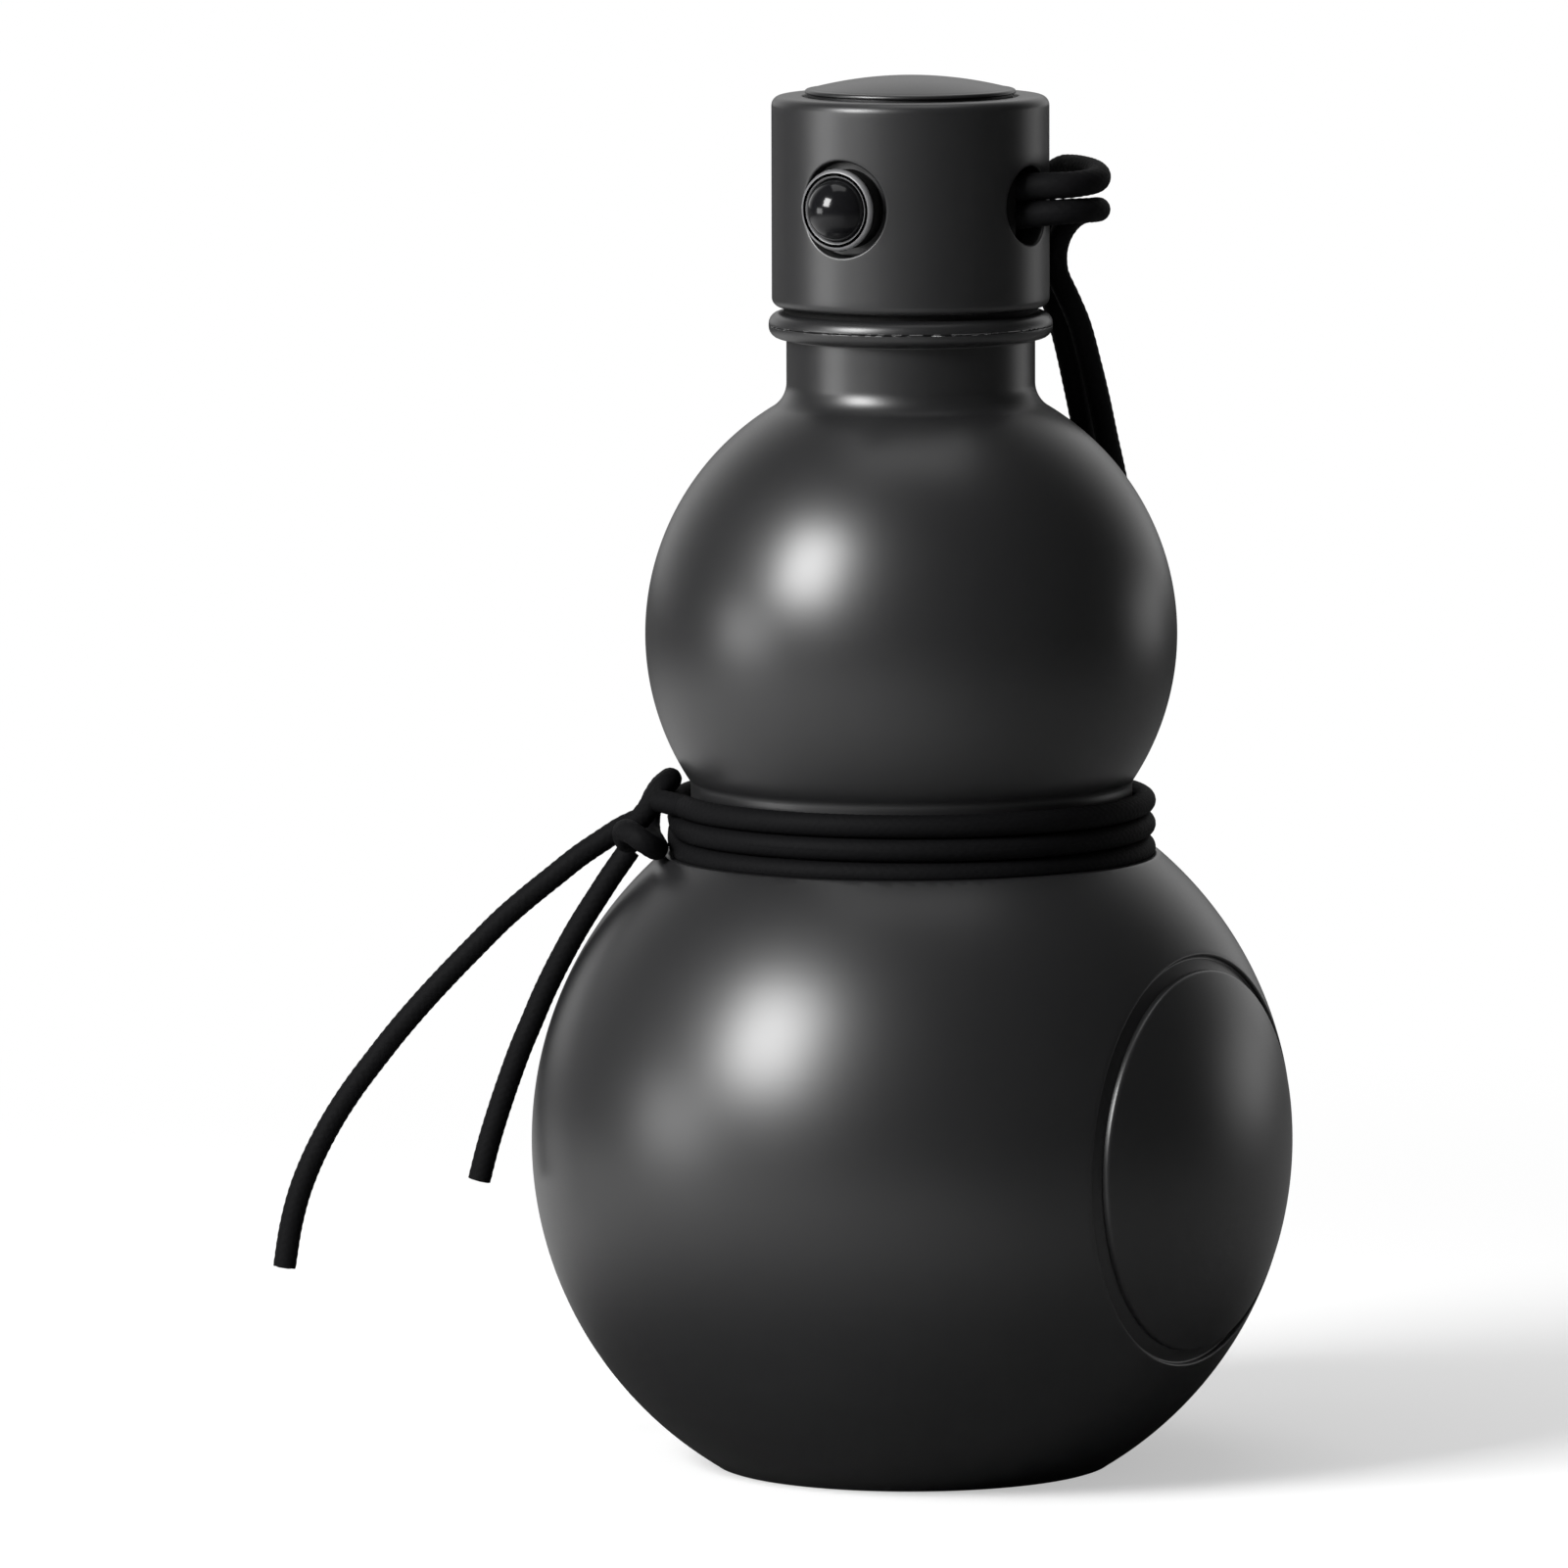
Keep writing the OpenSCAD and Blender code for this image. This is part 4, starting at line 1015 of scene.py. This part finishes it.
class BOTTLE_OT_cap(Operator):
    """Builds the cap, its raised disc, the button with its ring, and the finishes of the parts inside"""

    bl_idname = "bottle.cap"
    bl_label = "Build Cap"

    def execute(self, context):
        s = context.scene.bottle_sizes
        coat = cap_finish()
        self.shell(s, coat)
        self.disc(s, coat)
        self.button(s)
        nodes = frame["nodes"]
        # The lock's housing and plunger get the near-black painted-shade plastic, so the inside of the cord hole reads
        # dark.
        for name, finish in (
            ("mouth_seal", seal_finish()), ("stopper_plug", moulded_finish()), ("plug_insulation", foam_finish()),
            ("lock_housing", painted_shade_black_finish()), ("lock_plunger", painted_shade_black_finish()),
        ):
            nodes[name].data.materials.clear()
            nodes[name].data.materials.append(finish)
        self.spring(nodes["lock_spring"])
        return {"FINISHED"}

    def spring(self, node):
        """A steel copy of the coil that sits between the plunger and its seat in the cap, left where it stands and
        attached to no body.
        """
        mesh = node.data.copy()
        mesh.transform(node.matrix_world)
        coil = link(bpy.data.objects.new("lock_coil", mesh))
        finish_piece(coil, steel_finish(), None, ["lock_spring"])
        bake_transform(coil)

    def shell(self, s, coat):
        points, faces, rows = cap_side(s)
        side = mesh_object("cap_shell_coat", points, faces)
        radius = s.cap_radius
        foot = s.cap_foot
        top = foot + s.cap_height
        disc_seat = s.disc_radius + 0.35
        top_fillet = s.cap_top_fillet
        low_fillet = s.cap_foot_fillet
        work = bmesh.new()
        work.from_mesh(side.data)
        bmesh.ops.remove_doubles(work, verts=work.verts, dist=2e-6)

        def ends(height):
            return [e for e in work.edges if len(e.link_faces) == 1
                    and abs(e.verts[0].co.z - height * MM) < 1e-6 and abs(e.verts[1].co.z - height * MM) < 1e-6]

        def carry(edges, section):
            for r, z in section:
                made = bmesh.ops.extrude_edge_only(work, edges=edges)["geom"]
                edges = [g for g in made if isinstance(g, bmesh.types.BMEdge)]
                for vert in [g for g in made if isinstance(g, bmesh.types.BMVert)]:
                    flat = Vector((vert.co.x, vert.co.y)).normalized() * r * MM
                    vert.co = (flat.x, flat.y, z * MM)

        upper = arc(radius - top_fillet, top - top_fillet, top_fillet, 0, 90, 10)[1:]
        upper += [(disc_seat + 0.9, top), (disc_seat + 0.35, top), (disc_seat + 0.1, top - 0.06),
                  (disc_seat, top - 0.3), (disc_seat, top - 1.0), (disc_seat - 2, top - 1.0)]
        carry(ends(rows[-1]), upper)
        lower = arc(radius - low_fillet, foot + low_fillet, low_fillet, 0, -90, 8)[1:]
        lower += [(19.72, foot + 0.04), (19.63, foot + 0.15), (19.6, foot + 0.4), (19.6, foot + 6)]
        carry(ends(rows[0]), lower)
        bmesh.ops.recalc_face_normals(work, faces=work.faces)
        work.to_mesh(side.data)
        work.free()
        side.data.shade_smooth()
        finish_piece(side, coat, "cap", ["cap_shell"])

    def disc(self, s, coat):
        top = s.cap_foot + s.cap_height
        base = top - 0.95
        edge = top + s.disc_rise
        radius = s.disc_radius
        crown_radius = radius - 0.7
        section = rounded([
            (0, base, 0), (radius - 0.5, base, 0), (radius - 0.5, top + 0.35, 0.1), (radius, top + 0.4, 0.12),
            (radius, edge, 0.45), (crown_radius - 0.1, edge, 0),
        ])
        section += [(r, edge + s.disc_dome * (1 - (r / crown_radius) ** 2))
                    for r in [crown_radius - 0.3 - 0.6 * i for i in range(26)]]
        section += [(0, edge + s.disc_dome)]
        disc = turned("cap_top_cover", section, coat, 192)
        finish_piece(disc, coat, "cap", ["cap_top_disc"])

    def button(self, s):
        metal = bezel_finish()
        gloss = button_finish()
        z = s.feature_height
        out = s.cap_radius
        floor = out - s.recess_depth
        ring = rounded([
            (4.85, out + 0.55, 0), (6.15, out + 0.55, 0.2), (6.5, out + 1.6, 0.75), (4.85, out + 1.6, 0.55),
            (4.85, out + 0.55, 0),
        ])
        ring = turned("button_ring", ring, metal, 128, "-Y", (0, 0, z))
        finish_piece(ring, metal, "cap", ["button_bezel"])
        # The sleeve under the ring is near-black: painted shade on the ring's outer wall.
        dark = painted_shade_black_finish()
        sleeve = rounded([(4.85, floor, 0), (5.95, floor, 0.1), (5.95, out + 0.54, 0), (4.85, out + 0.54, 0),
                          (4.85, floor, 0)])
        sleeve = turned("button_sleeve", sleeve, dark, 128, "-Y", (0, 0, z))
        finish_piece(sleeve, dark, "cap", ["button_bezel"])
        tip = out + 5.2
        radius = 4.76
        crown = 4.5
        sphere = (radius ** 2 + crown ** 2) / (2 * crown)
        start = math.degrees(math.asin((sphere - crown) / sphere))
        section = [(0, tip - crown - 0.3), (radius - 0.1, tip - crown - 0.3), (radius, tip - crown - 0.2)]
        section += arc(0, tip - sphere, sphere, start, 90, 40)
        dome = turned("button_crown", section, gloss, 128, "-Y", (0, 0, z))
        finish_piece(dome, gloss, "button", ["button_dome"])


# Stage


def softbox(name, place, size, power, target=(0, 0, 0.11)):
    light = bpy.data.lights.new(name, "AREA")
    light.shape = "RECTANGLE"
    light.size, light.size_y = size
    light.energy = power
    holder = link(bpy.data.objects.new(name, light))
    direction = Vector(target) - Vector(place)
    holder.matrix_world = Matrix.Translation(place) @ direction.to_track_quat("-Z", "Y").to_matrix().to_4x4()
    return holder


def camera_frame():
    azimuth = math.radians(30)
    right = Vector((math.cos(azimuth), math.sin(azimuth), 0))
    near = Vector((math.sin(azimuth), -math.cos(azimuth), 0))
    return right, near


class BOTTLE_OT_stage(Operator):
    """Sets the pale floor, the white surroundings and the soft lights"""

    bl_idname = "bottle.stage"
    bl_label = "Set Stage"

    def execute(self, context):
        context.scene.view_settings.view_transform = "Standard"
        right, near = camera_frame()
        up = Vector((0, 0, 1))

        def around(r, u, n, distance):
            return (right * r + up * u + near * n).normalized() * distance + Vector((0, 0, 0.11))

        softbox("key_softbox", around(-0.66, 0.51, 0.55, 1.3), (0.5, 0.6), 34)
        softbox("left_softbox", near * 0.25 - right * 0.95 + up * 0.16, (0.4, 0.26), 2.6)
        softbox("top_softbox", around(0.0, 1.0, -0.1, 1.6), (1.0, 1.0), 6)
        softbox("right_softbox", around(0.85, -0.02, -0.55, 1.2), (0.5, 0.35), 0.8)
        self.world(context)
        self.floor()
        return {"FINISHED"}

    def world(self, context):
        """White to the camera and to reflections, softer where it only lights."""
        world = bpy.data.worlds.new("white_studio")
        world.use_nodes = True
        context.scene.world = world
        nodes = world.node_tree.nodes
        links = world.node_tree.links
        nodes.clear()
        output = nodes.new("ShaderNodeOutputWorld")
        path = nodes.new("ShaderNodeLightPath")
        seen = nodes.new("ShaderNodeBackground")
        seen.inputs["Color"].default_value = (1, 1, 1, 1)
        seen.inputs["Strength"].default_value = 1
        light = nodes.new("ShaderNodeBackground")
        light.inputs["Color"].default_value = (1, 1, 1, 1)
        light.inputs["Strength"].default_value = 0.3
        either = nodes.new("ShaderNodeMath")
        either.operation = "MAXIMUM"
        links.new(path.outputs["Is Camera Ray"], either.inputs[0])
        links.new(path.outputs["Is Transmission Ray"], either.inputs[1])
        mix = nodes.new("ShaderNodeMixShader")
        links.new(either.outputs[0], mix.inputs[0])
        links.new(light.outputs[0], mix.inputs[1])
        links.new(seen.outputs[0], mix.inputs[2])
        glossy = nodes.new("ShaderNodeBackground")
        glossy.inputs["Color"].default_value = (1, 1, 1, 1)
        place = nodes.new("ShaderNodeTexCoord")
        facing = nodes.new("ShaderNodeVectorMath")
        facing.operation = "DOT_PRODUCT"
        facing.inputs[1].default_value = (-0.5, 0.866, 0)
        links.new(place.outputs["Generated"], facing.inputs[0])
        behind = nodes.new("ShaderNodeMapRange")
        behind.inputs["From Min"].default_value = 0.4
        behind.inputs["From Max"].default_value = 0.95
        behind.inputs["To Min"].default_value = 0.04
        behind.inputs["To Max"].default_value = 1.1
        behind.interpolation_type = "SMOOTHSTEP"
        links.new(facing.outputs["Value"], behind.inputs["Value"])
        parts = nodes.new("ShaderNodeSeparateXYZ")
        links.new(place.outputs["Generated"], parts.inputs[0])
        low = nodes.new("ShaderNodeMapRange")
        low.inputs["From Min"].default_value = 0.1
        low.inputs["From Max"].default_value = 0.24
        low.inputs["To Min"].default_value = 0.12
        links.new(parts.outputs["Z"], low.inputs["Value"])
        aside = nodes.new("ShaderNodeMapRange")
        aside.inputs["From Min"].default_value = 0.985
        aside.inputs["From Max"].default_value = 0.93
        links.new(facing.outputs["Value"], aside.inputs["Value"])
        kept = nodes.new("ShaderNodeMath")
        kept.operation = "MAXIMUM"
        links.new(low.outputs[0], kept.inputs[0])
        links.new(aside.outputs[0], kept.inputs[1])
        strength = nodes.new("ShaderNodeMath")
        strength.operation = "MULTIPLY"
        links.new(behind.outputs[0], strength.inputs[0])
        links.new(kept.outputs[0], strength.inputs[1])
        links.new(strength.outputs[0], glossy.inputs["Strength"])
        mix_glossy = nodes.new("ShaderNodeMixShader")
        links.new(path.outputs["Is Glossy Ray"], mix_glossy.inputs[0])
        links.new(mix.outputs[0], mix_glossy.inputs[1])
        links.new(glossy.outputs[0], mix_glossy.inputs[2])
        links.new(mix_glossy.outputs[0], output.inputs["Surface"])

    def floor(self):
        size = 30.0
        floor = mesh_object("pale_floor", [(-size, -size, 0), (size, -size, 0), (size, size, 0), (-size, size, 0)],
                            [(0, 1, 2, 3)])
        material = bpy.data.materials.new("pale_floor")
        material.use_nodes = True
        nodes = material.node_tree.nodes
        links = material.node_tree.links
        nodes.clear()
        output = nodes.new("ShaderNodeOutputMaterial")
        matt = nodes.new("ShaderNodeBsdfDiffuse")
        path = nodes.new("ShaderNodeLightPath")
        # To reflections the floor is nearly black and to other rays pale: a painted dark reflection in the bottle's
        # lower half.
        shade = nodes.new("ShaderNodeMapRange")
        shade.inputs["To Min"].default_value = 0.82
        shade.inputs["To Max"].default_value = 0.05
        links.new(path.outputs["Is Glossy Ray"], shade.inputs["Value"])
        links.new(shade.outputs[0], matt.inputs["Color"])
        white = nodes.new("ShaderNodeEmission")
        white.inputs["Strength"].default_value = 1
        place = nodes.new("ShaderNodeTexCoord")
        reach = nodes.new("ShaderNodeVectorMath")
        reach.operation = "LENGTH"
        links.new(place.outputs["Object"], reach.inputs[0])
        fade = nodes.new("ShaderNodeMapRange")
        fade.inputs["From Min"].default_value = 0.05
        fade.inputs["From Max"].default_value = 0.5
        fade.inputs["To Min"].default_value = 0.45
        fade.interpolation_type = "SMOOTHSTEP"
        links.new(reach.outputs["Value"], fade.inputs["Value"])
        seen = nodes.new("ShaderNodeMath")
        seen.operation = "MULTIPLY"
        links.new(path.outputs["Is Camera Ray"], seen.inputs[0])
        links.new(fade.outputs[0], seen.inputs[1])
        mix = nodes.new("ShaderNodeMixShader")
        links.new(seen.outputs[0], mix.inputs[0])
        links.new(matt.outputs[0], mix.inputs[1])
        links.new(white.outputs[0], mix.inputs[2])
        glow = nodes.new("ShaderNodeEmission")
        links.new(self.floor_glow(nodes, links, place, reach, path), glow.inputs["Strength"])
        both = nodes.new("ShaderNodeAddShader")
        links.new(mix.outputs[0], both.inputs[0])
        links.new(glow.outputs[0], both.inputs[1])
        links.new(both.outputs[0], output.inputs["Surface"])
        floor.data.materials.append(material)


    def floor_glow(self, nodes, links, place, reach, path):
        """Light that the coat mirrors from the floor: strongest to the left, none close to the bottle."""
        right, near = camera_frame()
        aside = nodes.new("ShaderNodeVectorMath")
        aside.operation = "DOT_PRODUCT"
        aside.inputs[1].default_value = near * 0.25 - right * 0.97
        links.new(place.outputs["Object"], aside.inputs[0])
        level = nodes.new("ShaderNodeMapRange")
        level.inputs["From Min"].default_value = -0.1
        level.inputs["From Max"].default_value = 0.4
        level.inputs["To Min"].default_value = 0.2
        level.inputs["To Max"].default_value = 1.5
        links.new(aside.outputs["Value"], level.inputs["Value"])
        clear = nodes.new("ShaderNodeMapRange")
        clear.inputs["From Min"].default_value = 0.06
        clear.inputs["From Max"].default_value = 0.17
        clear.interpolation_type = "SMOOTHSTEP"
        links.new(reach.outputs["Value"], clear.inputs["Value"])
        far = nodes.new("ShaderNodeMapRange")
        far.inputs["From Min"].default_value = 0.35
        far.inputs["From Max"].default_value = 0.9
        far.inputs["To Min"].default_value = 1.0
        far.inputs["To Max"].default_value = 0.05
        links.new(reach.outputs["Value"], far.inputs["Value"])
        dimmed = nodes.new("ShaderNodeMath")
        dimmed.operation = "MULTIPLY"
        links.new(clear.outputs[0], dimmed.inputs[0])
        links.new(far.outputs[0], dimmed.inputs[1])
        glow = nodes.new("ShaderNodeMath")
        glow.operation = "MULTIPLY"
        links.new(level.outputs[0], glow.inputs[0])
        links.new(dimmed.outputs[0], glow.inputs[1])
        mirrored = nodes.new("ShaderNodeMath")
        mirrored.operation = "MULTIPLY"
        links.new(glow.outputs[0], mirrored.inputs[0])
        links.new(path.outputs["Is Glossy Ray"], mirrored.inputs[1])
        return mirrored.outputs[0]


class BOTTLE_PT_panel(Panel):
    """Lists the bottle's sizes and the steps that build it"""

    bl_idname = "BOTTLE_PT_panel"
    bl_label = "Gourd Bottle"
    bl_space_type = "VIEW_3D"
    bl_region_type = "UI"
    bl_category = "Bottle"

    def draw(self, context):
        layout = self.layout
        for group in (context.scene.bottle_sizes, context.scene.bottle_cord, context.scene.bottle_looks):
            box = layout.box()
            for name in group.bl_rna.properties.keys():
                if name not in ("rna_type", "name"):
                    box.prop(group, name)
        for step in STEPS:
            layout.operator(step.bl_idname)


STEPS = (BOTTLE_OT_camera, BOTTLE_OT_cords, BOTTLE_OT_body, BOTTLE_OT_cap, BOTTLE_OT_stage)
GROUPS = (("bottle_sizes", BottleSizes), ("bottle_cord", CordSizes), ("bottle_looks", BottleLooks))


def register():
    for name, group in GROUPS:
        bpy.utils.register_class(group)
        setattr(bpy.types.Scene, name, PointerProperty(type=group))
    for step in STEPS:
        bpy.utils.register_class(step)
    bpy.utils.register_class(BOTTLE_PT_panel)


def unregister():
    bpy.utils.unregister_class(BOTTLE_PT_panel)
    for step in reversed(STEPS):
        bpy.utils.unregister_class(step)
    for name, group in reversed(GROUPS):
        delattr(bpy.types.Scene, name)
        bpy.utils.unregister_class(group)


def main():
    register()
    bpy.ops.bottle.camera()
    bpy.ops.bottle.cords()
    bpy.ops.bottle.body()
    bpy.ops.bottle.cap()
    bpy.ops.bottle.stage()


if __name__ == "__main__":
    main()
